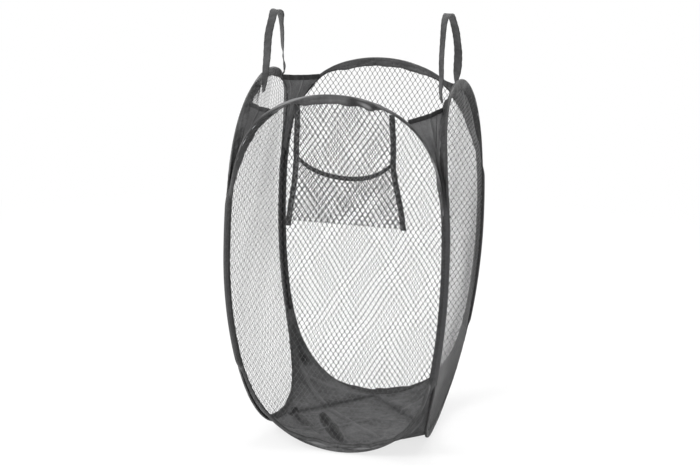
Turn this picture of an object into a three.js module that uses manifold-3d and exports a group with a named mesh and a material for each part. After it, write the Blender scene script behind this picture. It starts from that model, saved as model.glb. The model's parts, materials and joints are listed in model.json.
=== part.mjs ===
// Pop-up laundry hamper: four netting panels, each held open by a loop of flat spring wire in a cloth sleeve
// Its corners are taped together, and it has a cloth bottom, corner gussets, strap handles and a net pocket
// Millimetres, +Z up, the front panel faces -Y, and the origin is on the floor under the middle
import * as THREE from "three";
import { mergeVertices } from "three/addons/utils/BufferGeometryUtils.js";
import Module from "manifold-3d";

// Body, measured to the middle of a panel's thickness
const bodyHeight = 610;
const bodyHalf = 181;
const waistHeight = 336;
const footRise = 1.4;
const crownSquareness = 5.4;
const footSquareness = 6.2;

// How far each panel leans in from the waist to its crown and to its foot
const frontCrownLean = -9;
const frontFootLean = 45;
const backCrownLean = 5;
const backFootLean = 35;
const leftCrownLean = 21;
const leftFootLean = 60;
const rightCrownLean = 25;
const rightFootLean = 45;

// Spring wire, the crimped ferrule that joins its ends, and the clearance that every fit keeps
const clearance = 0.3;
const wireDepth = 3;
const wireThickness = 1;
const wireEndGap = 0.8;
const ferruleWall = 0.4;
const ferruleLength = 32;

// Sleeve of folded cloth round the wire, wide at crown and foot and drawn narrow at the corners
const sleeveCloth = 0.8;
const sleeveWidth = 15;
const cornerSleeveWidth = 7;
const leafClearance = 0.7;
const rimStations = 48;
const weldDistance = 0.001;

// Netting: diamonds of strand in a hem that the sleeve hides
const netThickness = 0.8;
const netStrand = 2.6;
const netCellWidth = 64;
const netCellHeight = 98;
const netSelvedge = 2.6;
const netBendStep = 75;
const smallestGapShare = 0.05;

// Corner tape over the joined sleeves, between the heights where the loops part
const seamFoot = 132;
const seamCrownDrop = 118;
const seamCrown = bodyHeight - seamCrownDrop;
const tapeThickness = 0.8;
const tapeLeg = 7;
const tapeRound = 2.4;

// Corner gussets and their hems
const gussetCloth = 0.8;
const gussetDrop = 30;
const gussetCrown = bodyHeight - gussetDrop;
const gussetCrease = 9;
const gussetColumns = 6;
const clothLap = 4;
const hemThickness = 1.8;
const hemHeight = 6.5;

// Cloth bottom: a flat middle that draws up to the loops and the corners
const bottomCloth = 1;
const bottomFlatShare = 0.9;
const bottomColumns = 4;

// Strap handles, one over each side panel
const strapWidth = 15;
const strapThickness = 1.6;
const leftHandleSpan = 132;
const leftHandleHeight = 96;
const leftHandleOffset = 18;
const leftHandleSquareness = 1.6;
const rightHandleSpan = 144;
const rightHandleHeight = 115;
const rightHandleOffset = 1;
const rightHandleSquareness = 2.4;
const handleStations = 24;
const handleTwistShare = 0.24;
const sewnEndLength = 24;
const handlePlay = 1.5;
const handlePinchShare = 0.5;
const rightHandleTilt = 8;

// Pocket: two tapes hang from the front sleeve and carry a backing net and a pouch
const pocketTapeWidth = 8;
const pocketTapeThickness = 1.2;
const pocketTop = 586;
const pocketLap = 7;
const pocketFoot = 401;
const pocketTapeTail = 9;
const pocketLeftTop = -68;
const pocketLeftFoot = -77;
const pocketRightTop = 84;
const pocketRightFoot = 109;
const pouchEdge = 504;
const pouchDip = 37;
const pouchBulge = 17;
const pouchDipSquareness = 0.75;
const pouchColumns = 12;
const pocketTapeRows = 6;
const bindingHeight = 5;
const bindingThickness = 1.8;
const pocketCellWidth = 40;
const pocketCellHeight = 62;

const wasm = await Module();
wasm.setup();

// Each panel leans by its own crown and foot, and turns round +Z to its place
const front = { name: "front", crownLean: frontCrownLean, footLean: frontFootLean };
const right = { name: "right", crownLean: rightCrownLean, footLean: rightFootLean };
const back = { name: "back", crownLean: backCrownLean, footLean: backFootLean };
const left = { name: "left", crownLean: leftCrownLean, footLean: leftFootLean };
right.handle = {
  span: rightHandleSpan,
  height: rightHandleHeight,
  middle: rightHandleOffset,
  squareness: rightHandleSquareness,
};
left.handle = {
  span: leftHandleSpan,
  height: leftHandleHeight,
  middle: -leftHandleOffset,
  squareness: leftHandleSquareness,
};
const panels = [front, right, back, left];
panels.forEach((panel, i) => {
  panel.turn = (i * Math.PI) / 2;
  panel.next = panels[(i + 1) % panels.length];
  panel.previous = panels[(i + panels.length - 1) % panels.length];
});

// Sizes that the sleeve takes from what it holds
const ferruleHalf = wireDepth / 2 + clearance + ferruleWall;
const chamberHalf = ferruleHalf + clearance;
const chamberStart = sleeveCloth;
const chamberEnd = sleeveCloth + wireThickness + 2 * (ferruleWall + 2 * clearance);
const wireMiddle = (chamberStart + chamberEnd) / 2;
const sleeveHalf = chamberHalf + sleeveCloth;
const cornerInset = sleeveHalf + clearance;
const innerFace = sleeveHalf + clearance;

// Colours and finishes
function cloth(color, roughness) {
  return new THREE.MeshStandardMaterial({ color, roughness, metalness: 0, side: THREE.DoubleSide });
}
const sleeveFabric = cloth(0x3b3b3d, 0.62);
const gussetFabric = cloth(0x55565a, 0.8);
const tapeFabric = cloth(0x2e2e30, 0.75);
const netting = cloth(0x4a4b4e, 0.7);
const webbing = cloth(0x38383b, 0.7);
const springSteel = new THREE.MeshStandardMaterial({ color: 0x8d9094, roughness: 0.35, metalness: 1 });

// How far a panel's surface stands from the middle at a height
function depthAt(panel, z) {
  const above = z > waistHeight;
  const reach = (z - waistHeight) / (above ? bodyHeight - waistHeight : waistHeight);
  return bodyHalf - (above ? panel.crownLean : panel.footLean) * reach ** 2;
}

// The outward normal of a panel's surface, in the panel's own frame
function normalAt(panel, z) {
  const above = z > waistHeight;
  const span = above ? bodyHeight - waistHeight : waistHeight;
  const slope = (-2 * (above ? panel.crownLean : panel.footLean) * (z - waistHeight)) / span ** 2;
  return new THREE.Vector3(0, -1, -slope).normalize();
}

// A point of the panel's surface, lifted outward, in the panel's own frame: x along it, z up
function onPanel(panel, t, z, lift) {
  return new THREE.Vector3(t, -depthAt(panel, z), z).addScaledVector(normalAt(panel, z), lift);
}

// A lifted point that stands at a height of its own, whatever the panel's lean
function atHeight(panel, t, z, lift) {
  return onPanel(panel, t, z - lift * normalAt(panel, z).z, lift);
}

// The same point in the hamper's frame
function inBody(panel, point) {
  return point.applyAxisAngle(new THREE.Vector3(0, 0, 1), panel.turn);
}

// The loop's outer edge at an angle that runs from the foot through the next panel's side
function rimAt(panel, angle) {
  const rise = Math.sin(angle);
  const squareness = rise > 0 ? crownSquareness : footSquareness;
  const climb = Math.sign(rise) * Math.abs(rise) ** (2 / squareness);
  const z = footRise + ((bodyHeight - footRise) * (1 + climb)) / 2;
  const toNext = depthAt(panel.next, z) - cornerInset;
  const toPrevious = depthAt(panel.previous, z) - cornerInset;
  const t = (toNext - toPrevious) / 2 + ((toNext + toPrevious) / 2) * Math.cos(angle);
  return new THREE.Vector2(t, z);
}

// The angle at a share of the way up one side, from -1 at the foot to 1 at the crown
function angleOfWay(way) {
  const climb = Math.sin((way * Math.PI) / 2);
  const squareness = climb > 0 ? crownSquareness : footSquareness;
  return Math.asin(Math.sign(climb) * Math.abs(climb) ** (squareness / 2));
}

// Angles that space the stations evenly along a loop, the same for every panel
function evenAngles(count, fine = 720) {
  const ways = Array.from({ length: fine + 1 }, (_, i) => (2 * i) / fine - 1);
  const walk = ways.map((way) => rimAt(front, angleOfWay(way)));
  const run = [0];
  for (let i = 1; i <= fine; i++) run.push(run[i - 1] + walk[i].distanceTo(walk[i - 1]));
  const angles = [angleOfWay(-1)];
  for (let k = 1, i = 0; k < count / 2; k++) {
    const target = (run[fine] * k) / (count / 2);
    while (run[i + 1] < target) i++;
    const share = (target - run[i]) / (run[i + 1] - run[i]);
    angles.push(angleOfWay(THREE.MathUtils.lerp(ways[i], ways[i + 1], share)));
  }
  angles.push(angleOfWay(1));
  // The far half mirrors the near half, so that neighbours' stations stand at the same heights
  for (let k = count / 2 - 1; k > 0; k--) angles.push(Math.PI - angles[k]);
  return angles;
}
const rimAngles = evenAngles(rimStations);

// The rim set in from its outer edge by a distance that may change along it
function rimInset(panel, inset) {
  const edge = rimAngles.map((angle) => rimAt(panel, angle));
  return edge.map((point, k) => {
    const ahead = edge[(k + 1) % edge.length];
    const behind = edge[(k + edge.length - 1) % edge.length];
    const along = ahead.clone().sub(behind).normalize();
    const into = new THREE.Vector2(-along.y, along.x);
    return point.clone().addScaledVector(into, typeof inset === "number" ? inset : inset[k]);
  });
}

// A geometry from points and index triples, turned to face out
function solidFrom(points, triples) {
  let volume = 0;
  for (const [a, b, c] of triples) volume += points[a].dot(points[b].clone().cross(points[c]));
  const facing = volume < 0 ? triples.map(([a, b, c]) => [a, c, b]) : triples;
  const geometry = new THREE.BufferGeometry();
  geometry.setAttribute("position", new THREE.Float32BufferAttribute(points.flatMap((p) => p.toArray()), 3));
  geometry.setIndex(facing.flat());
  geometry.computeVertexNormals();
  return geometry;
}

// Joins rings of points that run along a path, as a closed loop or with flat ends
function sweep(rings, closed, capOutline) {
  const count = rings[0].length;
  const triples = [];
  const spans = closed ? rings.length : rings.length - 1;
  for (let r = 0; r < spans; r++) {
    const here = r * count;
    const there = ((r + 1) % rings.length) * count;
    for (let i = 0; i < count; i++) {
      const j = (i + 1) % count;
      triples.push([here + i, here + j, there + j], [here + i, there + j, there + i]);
    }
  }
  if (!closed) {
    const last = (rings.length - 1) * count;
    for (const [a, b, c] of THREE.ShapeUtils.triangulateShape(capOutline, [])) {
      triples.push([a, c, b], [last + a, last + b, last + c]);
    }
  }
  return solidFrom(rings.flat(), triples);
}

// Thickens a triangulated surface into a closed solid, from its under points to its upper points
function thicken(under, upper, triples) {
  const count = under.length;
  const rim = new Map();
  for (const [a, b, c] of triples) {
    for (const [p, q] of [[a, b], [b, c], [c, a]]) {
      if (!rim.delete(q + " " + p)) rim.set(p + " " + q, [p, q]);
    }
  }
  const faces = triples.flatMap(([a, b, c]) => [[a, c, b], [a + count, b + count, c + count]]);
  for (const [p, q] of rim.values()) {
    faces.push([p, q, q + count], [p, q + count, p + count]);
  }
  return solidFrom([...under, ...upper], faces);
}

// A cloth sheet over a grid of points, half its thickness to each side
function clothSheet(grid, thickness) {
  const rows = grid.length;
  const columns = grid[0].length;
  const triples = [];
  for (let r = 0; r + 1 < rows; r++) {
    for (let c = 0; c + 1 < columns; c++) {
      const a = r * columns + c;
      triples.push([a, a + 1, a + columns + 1], [a, a + columns + 1, a + columns]);
    }
  }
  const normals = grid.map((row, r) =>
    row.map((_, c) => {
      const across = grid[r][Math.min(c + 1, columns - 1)].clone().sub(grid[r][Math.max(c - 1, 0)]);
      const along = grid[Math.min(r + 1, rows - 1)][c].clone().sub(grid[Math.max(r - 1, 0)][c]);
      return across.cross(along).normalize();
    }),
  );
  const shifted = (amount) =>
    grid.flatMap((row, r) => row.map((point, c) => point.clone().addScaledVector(normals[r][c], amount)));
  return thicken(shifted(-thickness / 2), shifted(thickness / 2), triples);
}

// The rings of a section carried along a panel's rim: each section point is [inset, lift]
function rimRings(panel, sectionAt) {
  const paths = sectionAt(0).map((_, i) => {
    const insets = rimAngles.map((angle) => sectionAt(angle)[i][0]);
    return rimInset(panel, insets);
  });
  return rimAngles.map((angle, k) =>
    sectionAt(angle).map(([, lift], i) => onPanel(panel, paths[i][k].x, paths[i][k].y, lift)),
  );
}

// A ring between two neighbours, a distance along from the first
function ringBetween(ringA, ringB, distance) {
  const share = distance / ringA[0].distanceTo(ringB[0]);
  return ringA.map((point, i) => point.clone().lerp(ringB[i], share));
}

// The section of the flat spring wire, grown on every side by a wall or a fit
function wireSection(grow) {
  const halfThickness = wireThickness / 2 + grow;
  const halfDepth = wireDepth / 2 + grow;
  return [
    [wireMiddle - halfThickness, -halfDepth],
    [wireMiddle + halfThickness, -halfDepth],
    [wireMiddle + halfThickness, halfDepth],
    [wireMiddle - halfThickness, halfDepth],
  ];
}

// The wire runs once round the loop, and its two ends meet at the foot
function wireGeometry(panel) {
  const section = wireSection(0);
  const rings = rimRings(panel, () => section);
  const start = ringBetween(rings[0], rings[1], wireEndGap / 2);
  const end = ringBetween(rings[0], rings.at(-1), wireEndGap / 2);
  const outline = section.map(([u, v]) => new THREE.Vector2(u, v));
  return sweep([start, ...rings.slice(1), end], false, outline);
}

// The ferrule is a flat tube over both ends of the wire
function ferruleGeometry(panel) {
  const tube = (grow) => {
    const rings = rimRings(panel, () => wireSection(grow));
    const before = ringBetween(rings[0], rings.at(-1), ferruleLength / 2);
    const after = ringBetween(rings[0], rings[1], ferruleLength / 2);
    return [before, rings[0], after];
  };
  const outer = tube(clearance + ferruleWall);
  const inner = tube(clearance);
  const loops = outer[0].map((_, i) => [...outer.map((r) => r[i]), ...inner.map((r) => r[i]).reverse()]);
  return sweep(loops, true);
}

// How wide the sleeve is at an angle of the loop
function sleeveWidthAt(angle) {
  return cornerSleeveWidth + (sleeveWidth - cornerSleeveWidth) * Math.abs(Math.sin(angle));
}

// The sleeve is one fold of cloth round the wire, open towards the net that its two leaves hold
function sleeveSection(angle) {
  const width = sleeveWidthAt(angle);
  const leafInner = netThickness / 2 + leafClearance;
  const leafOuter = leafInner + sleeveCloth;
  const foldHalf = sleeveHalf / 2;
  return [
    [width, leafOuter],
    [chamberEnd, sleeveHalf],
    [sleeveCloth / 2, sleeveHalf - sleeveCloth / 2],
    [0, foldHalf],
    [0, -foldHalf],
    [sleeveCloth / 2, -sleeveHalf + sleeveCloth / 2],
    [chamberEnd, -sleeveHalf],
    [width, -leafOuter],
    [width, -leafInner],
    [chamberEnd, -chamberHalf],
    [chamberStart, -chamberHalf],
    [chamberStart, chamberHalf],
    [chamberEnd, chamberHalf],
    [width, leafInner],
  ];
}

// A prism over a flat outline, as a solid for joins and cuts
function prism(outline, thickness) {
  const options = { depth: thickness, bevelEnabled: false };
  const extruded = new THREE.ExtrudeGeometry(new THREE.Shape(outline), options);
  extruded.translate(0, 0, -thickness / 2).deleteAttribute("normal").deleteAttribute("uv");
  const merged = mergeVertices(extruded, weldDistance);
  const vertProperties = new Float32Array(merged.getAttribute("position").array);
  const triVerts = new Uint32Array(merged.index.array);
  return new wasm.Manifold(new wasm.Mesh({ numProp: 3, vertProperties, triVerts }));
}

// Halves the edges that climb more than a step, so that flat work can bend
function splitTallEdges(points, triples, step) {
  const middles = new Map();
  const middleOf = (a, b) => {
    if (Math.abs(points[a].y - points[b].y) <= step) return undefined;
    const key = Math.min(a, b) + " " + Math.max(a, b);
    if (!middles.has(key)) middles.set(key, points.push(points[a].clone().lerp(points[b], 0.5)) - 1);
    return middles.get(key);
  };
  const halves = triples.flatMap((corners) => {
    const cuts = corners.map((v, n) => middleOf(v, corners[(n + 1) % 3]));
    const isCut = (n) => cuts[n % 3] !== undefined;
    const count = cuts.filter((_, n) => isCut(n)).length;
    if (count === 0) return [corners];
    // Turned so that the first edge is cut, and with two cuts the last edge is whole
    const lead = [0, 1, 2].find((n) => isCut(n) && (count !== 2 || isCut(n + 1)));
    const [a, b, c] = [0, 1, 2].map((n) => corners[(lead + n) % 3]);
    const [ab, bc, ca] = [0, 1, 2].map((n) => cuts[(lead + n) % 3]);
    if (count === 1) return [[a, ab, c], [ab, b, c]];
    if (count === 2) return [[a, ab, c], [ab, bc, c], [ab, b, bc]];
    return [[a, ab, ca], [ab, b, bc], [ca, bc, c], [ab, bc, ca]];
  });
  return middles.size ? splitTallEdges(points, halves, step) : halves;
}

// Net inside an outline: a slab whose diamonds are cut out within its hem, then laid on a surface
function netGeometry(outline, hemmed, cellWidth, cellHeight, place) {
  const cut = netThickness * 2;
  const field = prism(hemmed, cut);
  const reach = (cellWidth * cellHeight) / 4 / (Math.hypot(cellWidth, cellHeight) / 2);
  const open = 1 - netStrand / 2 / reach;
  const box = new THREE.Box2().setFromPoints(hemmed);
  const middle = box.getCenter(new THREE.Vector2());
  const across = Math.ceil((box.max.x - box.min.x) / cellWidth) + 1;
  const up = Math.ceil((box.max.y - box.min.y) / cellHeight) + 1;
  const wholeGap = (cellWidth * cellHeight * open ** 2 * cut) / 2;
  let net = prism(outline, netThickness);
  for (let i = -across; i <= across; i++) {
    for (let j = -up; j <= up; j++) {
      if ((i + j) % 2) continue;
      const x = middle.x + (i * cellWidth) / 2;
      const y = middle.y + (j * cellHeight) / 2;
      const corners = [[0, -1], [1, 0], [0, 1], [-1, 0]];
      const diamond = corners.map(
        ([a, b]) => new THREE.Vector2(x + (a * cellWidth * open) / 2, y + (b * cellHeight * open) / 2),
      );
      const gap = prism(diamond, cut).intersect(field);
      if (gap.volume() > smallestGapShare * wholeGap) net = net.subtract(gap);
    }
  }
  const mesh = net.getMesh();
  const points = [];
  for (let i = 0; i < mesh.numVert; i++) {
    points.push(new THREE.Vector3().fromArray(mesh.vertProperties, i * mesh.numProp));
  }
  const triples = [];
  for (let i = 0; i < mesh.triVerts.length; i += 3) triples.push([...mesh.triVerts.subarray(i, i + 3)]);
  const faces = splitTallEdges(points, triples, netBendStep);
  return solidFrom(points.map(({ x, y, z }) => place(x, y, z)), faces);
}

// A panel's net fills its loop and ends between the sleeve's leaves
function panelNetGeometry(panel) {
  const edge = chamberEnd + clearance;
  const outline = rimInset(panel, edge);
  const hemmed = rimInset(panel, edge + netSelvedge);
  const place = (t, z, lift) => onPanel(panel, t, z, lift);
  return netGeometry(outline, hemmed, netCellWidth, netCellHeight, place);
}

// The values of a loop on the side towards a neighbour, from foot to crown
function sideOf(values, towardsNext) {
  const half = rimStations / 2;
  return Array.from({ length: half + 1 }, (_, k) => values[towardsNext || k === 0 ? k : rimStations - k]);
}
const sideHeights = sideOf(rimAngles, true).map((angle) => rimAt(front, angle).y);

// The part of such a line between two heights: its own stations, and a point cut in at each end
function between(line, low, high) {
  const cutAt = (z) => {
    const k = Math.max(sideHeights.findIndex((height) => height >= z), 1);
    const share = (z - sideHeights[k - 1]) / (sideHeights[k] - sideHeights[k - 1]);
    return line[k - 1].clone().lerp(line[k], THREE.MathUtils.clamp(share, 0, 1));
  };
  const inside = line.filter((_, k) => sideHeights[k] > low && sideHeights[k] < high);
  return [cutAt(low), ...inside, cutAt(high)];
}

// Where cloth is sewn on the inner face of a panel's sleeve, from one height to another
function sewnLine(panel, towardsNext, low, high, lift) {
  const lapped = rimInset(panel, clothLap).map(({ x, y }) => onPanel(panel, x, y, -innerFace - lift));
  const line = lapped.map((point) => inBody(panel, point));
  return between(sideOf(line, towardsNext), low, high);
}

// The corner after a panel, between it and the next: tape folded over both sleeves
function cornerTapeGeometry(panel) {
  const near = sleeveHalf + clearance;
  const far = near + tapeThickness;
  const section = [
    [-tapeLeg, near],
    [near - tapeRound, near],
    [near, near - tapeRound],
    [near, -tapeLeg],
    [far, -tapeLeg],
    [far, near - tapeRound],
    [near - tapeRound, far],
    [-tapeLeg, far],
  ];
  const heights = between(sideHeights.map((z) => new THREE.Vector3(0, 0, z)), seamFoot, seamCrown);
  const rings = heights.map(({ z }) => {
    return section.map(([p, q]) =>
      inBody(panel, new THREE.Vector3(depthAt(panel.next, z) + p, -depthAt(panel, z) - q, z)),
    );
  });
  return sweep(rings, false, section.map(([p, q]) => new THREE.Vector2(p, q)));
}

// A gusset fills the corner above the tape, with one crease down its middle
function gussetGrid(panel) {
  const lift = hemThickness / 2;
  const nearLine = sewnLine(panel, true, seamCrown, gussetCrown, lift);
  const farLine = sewnLine(panel.next, false, seamCrown, gussetCrown, lift);
  const inward = inBody(panel, new THREE.Vector3(-1, 1, 0)).normalize();
  return nearLine.map((start, r) => {
    const height = r / (nearLine.length - 1);
    return Array.from({ length: gussetColumns + 1 }, (_, c) => {
      const share = c / gussetColumns;
      const crease = gussetCrease * Math.sin(Math.PI * height) * (1 - Math.abs(2 * share - 1));
      return start.clone().lerp(farLine[r], share).addScaledVector(inward, crease);
    });
  });
}

// The hem is a folded tape along the gusset's top edge
function hemGeometry(grid) {
  const top = grid.at(-1);
  const start = top[0];
  const end = top.at(-1);
  const along = end.clone().sub(start).normalize();
  const across = new THREE.Vector3(0, 0, 1).cross(along).normalize();
  const up = along.clone().cross(across);
  const half = hemThickness / 2;
  const section = [[-half, clearance], [half, clearance], [half, hemHeight], [-half, hemHeight]];
  const ringAt = (point) =>
    section.map(([a, b]) => point.clone().addScaledVector(across, a).addScaledVector(up, b));
  return sweep([ringAt(start), ringAt(end)], false, section.map(([a, b]) => new THREE.Vector2(a, b)));
}

// Shares one list of points between faces, so that faces whose corners coincide are joined
function weld(faces) {
  const points = [];
  const places = new Map();
  const indexOf = (point) => {
    const key = point.toArray().map((c) => Math.round(c / weldDistance)).join(" ");
    if (!places.has(key)) places.set(key, points.push(point) - 1);
    return places.get(key);
  };
  return { points, triples: faces.map((face) => face.map(indexOf)) };
}

// The cloth of one lower corner is drawn up between two neighbours' loops
function bottomCornerGrid(panel) {
  const nearLine = sewnLine(panel, true, footRise, seamFoot, 0);
  const farLine = sewnLine(panel.next, false, footRise, seamFoot, 0);
  return nearLine.map((start, r) =>
    Array.from({ length: bottomColumns + 1 }, (_, c) => start.clone().lerp(farLine[r], c / bottomColumns)),
  );
}

// The cloth bottom lies flat in the middle and draws up along every loop into the corners
function bottomGeometry() {
  const middle = new THREE.Vector3();
  const faces = panels.flatMap((panel) => {
    const corner = bottomCornerGrid(panel);
    const flat = corner[0].map((point) => point.clone().multiplyScalar(bottomFlatShare).setZ(0));
    const rows = [flat, ...corner];
    const drawn = rows.slice(1).flatMap((row, r) =>
      row.slice(1).flatMap((_, c) => [
        [rows[r][c], row[c], row[c + 1]],
        [rows[r][c], row[c + 1], rows[r][c + 1]],
      ]),
    );
    return [...flat.slice(1).map((point, c) => [middle, flat[c], point]), ...drawn];
  });
  const { points, triples } = weld(faces);
  return thicken(points, points.map((point) => point.clone().setZ(point.z + bottomCloth)), triples);
}

// The height of a panel's crown at a place along it, set in from the loop's outer edge
function crownHeight(panel, inset, t) {
  const crown = rimInset(panel, inset).filter(({ y }) => y > waistHeight).sort((a, b) => a.x - b.x);
  const k = Math.max(crown.findIndex(({ x }) => x >= t), 1);
  return THREE.MathUtils.mapLinear(t, crown[k - 1].x, crown[k].x, crown[k - 1].y, crown[k].y);
}

// The pivot line of a side panel's handle: just over the sleeve, level, on its inner face
function handlePivot(panel) {
  const inner = (panel.handle.span - strapWidth) / 2 - Math.abs(panel.handle.middle);
  const height = Math.max(crownHeight(panel, 0, -inner), crownHeight(panel, 0, inner));
  return atHeight(panel, 0, height + strapThickness / 2 + handlePlay, -innerFace - strapThickness / 2);
}

// The strap arches over its span, flat side up, with a quarter turn at each end where it is sewn flat
function strapGeometry(handle) {
  const halfSpan = handle.span / 2;
  const power = 2 / handle.squareness;
  const spine = Array.from({ length: handleStations + 1 }, (_, k) => {
    const angle = (Math.PI * k) / handleStations;
    const x = -Math.sign(Math.cos(angle)) * Math.abs(Math.cos(angle)) ** power * halfSpan;
    return new THREE.Vector3(k * 2 === handleStations ? 0 : x, 0, Math.sin(angle) ** power * handle.height);
  });
  spine[0].z = -strapThickness / 2;
  spine[handleStations].z = -strapThickness / 2;
  const across = new THREE.Vector3(0, 1, 0);
  const rings = spine.map((point, k) => {
    const share = k / handleStations;
    const fromEnd = Math.min(share, 1 - share) / handleTwistShare;
    const turned = 1 - THREE.MathUtils.smoothstep(fromEnd, 0, 1);
    const along = spine[Math.min(k + 1, handleStations)].clone().sub(spine[Math.max(k - 1, 0)]);
    const isEnd = k === 0 || k === handleStations;
    if (isEnd) along.set(0, 0, k === 0 ? 1 : -1);
    along.normalize();
    // The foot is pinched, so that it turns over its sewn end without touching it
    const halfThickness = ((isEnd ? handlePinchShare : 1) * strapThickness) / 2;
    const wide = across.clone().applyAxisAngle(along, (turned * Math.PI) / 2).multiplyScalar(strapWidth / 2);
    const thin = along.clone().cross(wide).normalize().multiplyScalar(halfThickness);
    return [
      point.clone().sub(wide).sub(thin),
      point.clone().add(wide).sub(thin),
      point.clone().add(wide).add(thin),
      point.clone().sub(wide).add(thin),
    ];
  });
  const outline = [[-1, -1], [1, -1], [1, 1], [-1, 1]].map(([a, b]) => new THREE.Vector2(a, b));
  return sweep(rings, false, outline);
}

// A sewn end of the strap lies flat on the sleeve's inner face, just under the pivot line
function sewnEndGeometry(panel, side) {
  const pivot = handlePivot(panel);
  const middle = panel.handle.middle + (side * panel.handle.span) / 2;
  const top = pivot.z - strapThickness / 2 - clearance;
  const inner = -innerFace;
  const ringAt = (z) =>
    [[-1, inner], [1, inner], [1, inner - strapThickness], [-1, inner - strapThickness]].map(([edge, lift]) =>
      atHeight(panel, middle + (edge * strapWidth) / 2, z, lift),
    );
  const outline = [[-1, 0], [1, 0], [1, 1], [-1, 1]].map(([a, b]) => new THREE.Vector2(a, b));
  return sweep([ringAt(top - sewnEndLength), ringAt(top)], false, outline);
}

// The pocket's side lines, from the front sleeve down to the pocket's foot
function pocketSide(side, z) {
  const [top, foot] = side < 0 ? [pocketLeftTop, pocketLeftFoot] : [pocketRightTop, pocketRightFoot];
  return foot + ((top - foot) * (z - pocketFoot)) / (pocketTop - pocketFoot);
}

// Where the pocket's layers lie inside the front panel
const backingLift = -innerFace - netThickness / 2;
const pouchLift = backingLift - netThickness - clearance;
const pocketTapeLift = pouchLift - netThickness / 2 - 2 * clearance - pocketTapeThickness / 2;

// A tape of the pocket hangs from the sleeve's inner face, and its cut end shows below the pocket
function pocketTapeGeometry(side) {
  const foot = pocketFoot - pocketTapeTail;
  const half = pocketTapeWidth / 2;
  const columns = [-half, 0, half];
  const top = crownHeight(front, pocketLap, pocketSide(side, pocketTop));
  const grid = Array.from({ length: pocketTapeRows + 1 }, (_, r) => {
    const z = foot + ((top - foot) * r) / pocketTapeRows;
    return columns.map((offset) => onPanel(front, pocketSide(side, z) + offset, z, pocketTapeLift));
  });
  return clothSheet(grid, pocketTapeThickness);
}

// The height of the pouch's open edge at a share of its width
function pouchEdgeAt(share) {
  return pouchEdge - pouchDip * Math.sin(Math.PI * share) ** pouchDipSquareness;
}

// How far the pouch stands out into the hamper
function pouchLiftAt(t, z) {
  const low = pocketSide(-1, z) + pocketTapeWidth / 2;
  const high = pocketSide(1, z) - pocketTapeWidth / 2;
  const share = THREE.MathUtils.clamp((t - low) / (high - low), 0, 1);
  const climb = THREE.MathUtils.clamp((z - pocketFoot) / (pouchEdgeAt(share) - pocketFoot), 0, 1);
  return pouchLift - pouchBulge * Math.sin(Math.PI * share) ** 2 * (1 - (1 - climb) ** 2);
}

// A net between the pocket's side lines, up to a top edge, set in by a hem
function pocketOutline(edgeAt, inset) {
  const pointAt = (share, z) => {
    const low = pocketSide(-1, z) + inset;
    const high = pocketSide(1, z) - inset;
    return new THREE.Vector2(low + (high - low) * share, z);
  };
  const shares = Array.from({ length: pouchColumns + 1 }, (_, c) => c / pouchColumns);
  const foot = shares.map((share) => pointAt(share, pocketFoot + inset));
  const top = shares.map((share) => pointAt(share, edgeAt(share) - inset));
  return [...foot, ...top.reverse()];
}

function pocketNetGeometry(edgeAt, liftAt) {
  const outline = pocketOutline(edgeAt, 0);
  const hemmed = pocketOutline(edgeAt, netSelvedge + netStrand);
  const place = (t, z, lift) => onPanel(front, t, z, lift + liftAt(t, z));
  return netGeometry(outline, hemmed, pocketCellWidth, pocketCellHeight, place);
}

// The height of the backing net's top edge at a share of its width
function backingEdgeAt(share) {
  const t = THREE.MathUtils.lerp(pocketSide(-1, pocketTop), pocketSide(1, pocketTop), share);
  return crownHeight(front, pocketLap, t);
}

// The binding is a folded strip along the pouch's open edge
function bindingGeometry() {
  const edge = pocketOutline(pouchEdgeAt, 0).slice(pouchColumns + 1);
  const trim = pocketTapeWidth / 2 + 2 * clearance;
  const cutIn = (end, next) => end.clone().lerp(next, trim / Math.abs(next.x - end.x));
  const line = [cutIn(edge[0], edge[1]), ...edge.slice(1, -1), cutIn(edge.at(-1), edge.at(-2))];
  // Its outer face is flush with the pouch's
  const outer = netThickness / 2;
  const inner = outer - bindingThickness;
  const section = [[clearance, inner], [bindingHeight, inner], [bindingHeight, outer], [clearance, outer]];
  const rings = line.map(({ x, y }) =>
    section.map(([rise, lift]) => onPanel(front, x, y + rise, lift + pouchLiftAt(x, y))),
  );
  return sweep(rings, false, section.map(([a, b]) => new THREE.Vector2(a, b)));
}

function named(name, geometry, material) {
  const mesh = new THREE.Mesh(geometry, material);
  mesh.name = name;
  return mesh;
}

// One panel: wire, ferrule, sleeve and net
function buildPanel(panel) {
  const group = new THREE.Group();
  group.rotation.z = panel.turn;
  group.add(
    named(panel.name + "_wire", wireGeometry(panel), springSteel),
    named(panel.name + "_ferrule", ferruleGeometry(panel), springSteel),
    named(panel.name + "_sleeve", sweep(rimRings(panel, sleeveSection), true), sleeveFabric),
    named(panel.name + "_net", panelNetGeometry(panel), netting),
  );
  return group;
}

// The corner between a panel and the next: tape, gusset and hem
function buildCorner(panel, name) {
  const group = new THREE.Group();
  const grid = gussetGrid(panel);
  group.add(
    named("corner_tape_" + name, cornerTapeGeometry(panel), tapeFabric),
    named("gusset_" + name, clothSheet(grid, gussetCloth), gussetFabric),
    named("gusset_hem_" + name, hemGeometry(grid), tapeFabric),
  );
  return group;
}

// A side panel's handle with its two sewn ends
function buildHandle(panel, tilt) {
  const group = new THREE.Group();
  group.rotation.z = panel.turn;
  const frontSide = panel.next === front ? 1 : -1;
  const pivot = handlePivot(panel);
  const strap = named(panel.name + "_handle", strapGeometry(panel.handle), webbing);
  strap.position.copy(pivot).setX(panel.handle.middle);
  strap.rotation.x = THREE.MathUtils.degToRad(-tilt);
  group.add(
    strap,
    named(panel.name + "_handle_front_end", sewnEndGeometry(panel, frontSide), webbing),
    named(panel.name + "_handle_back_end", sewnEndGeometry(panel, -frontSide), webbing),
  );
  return group;
}

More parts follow.
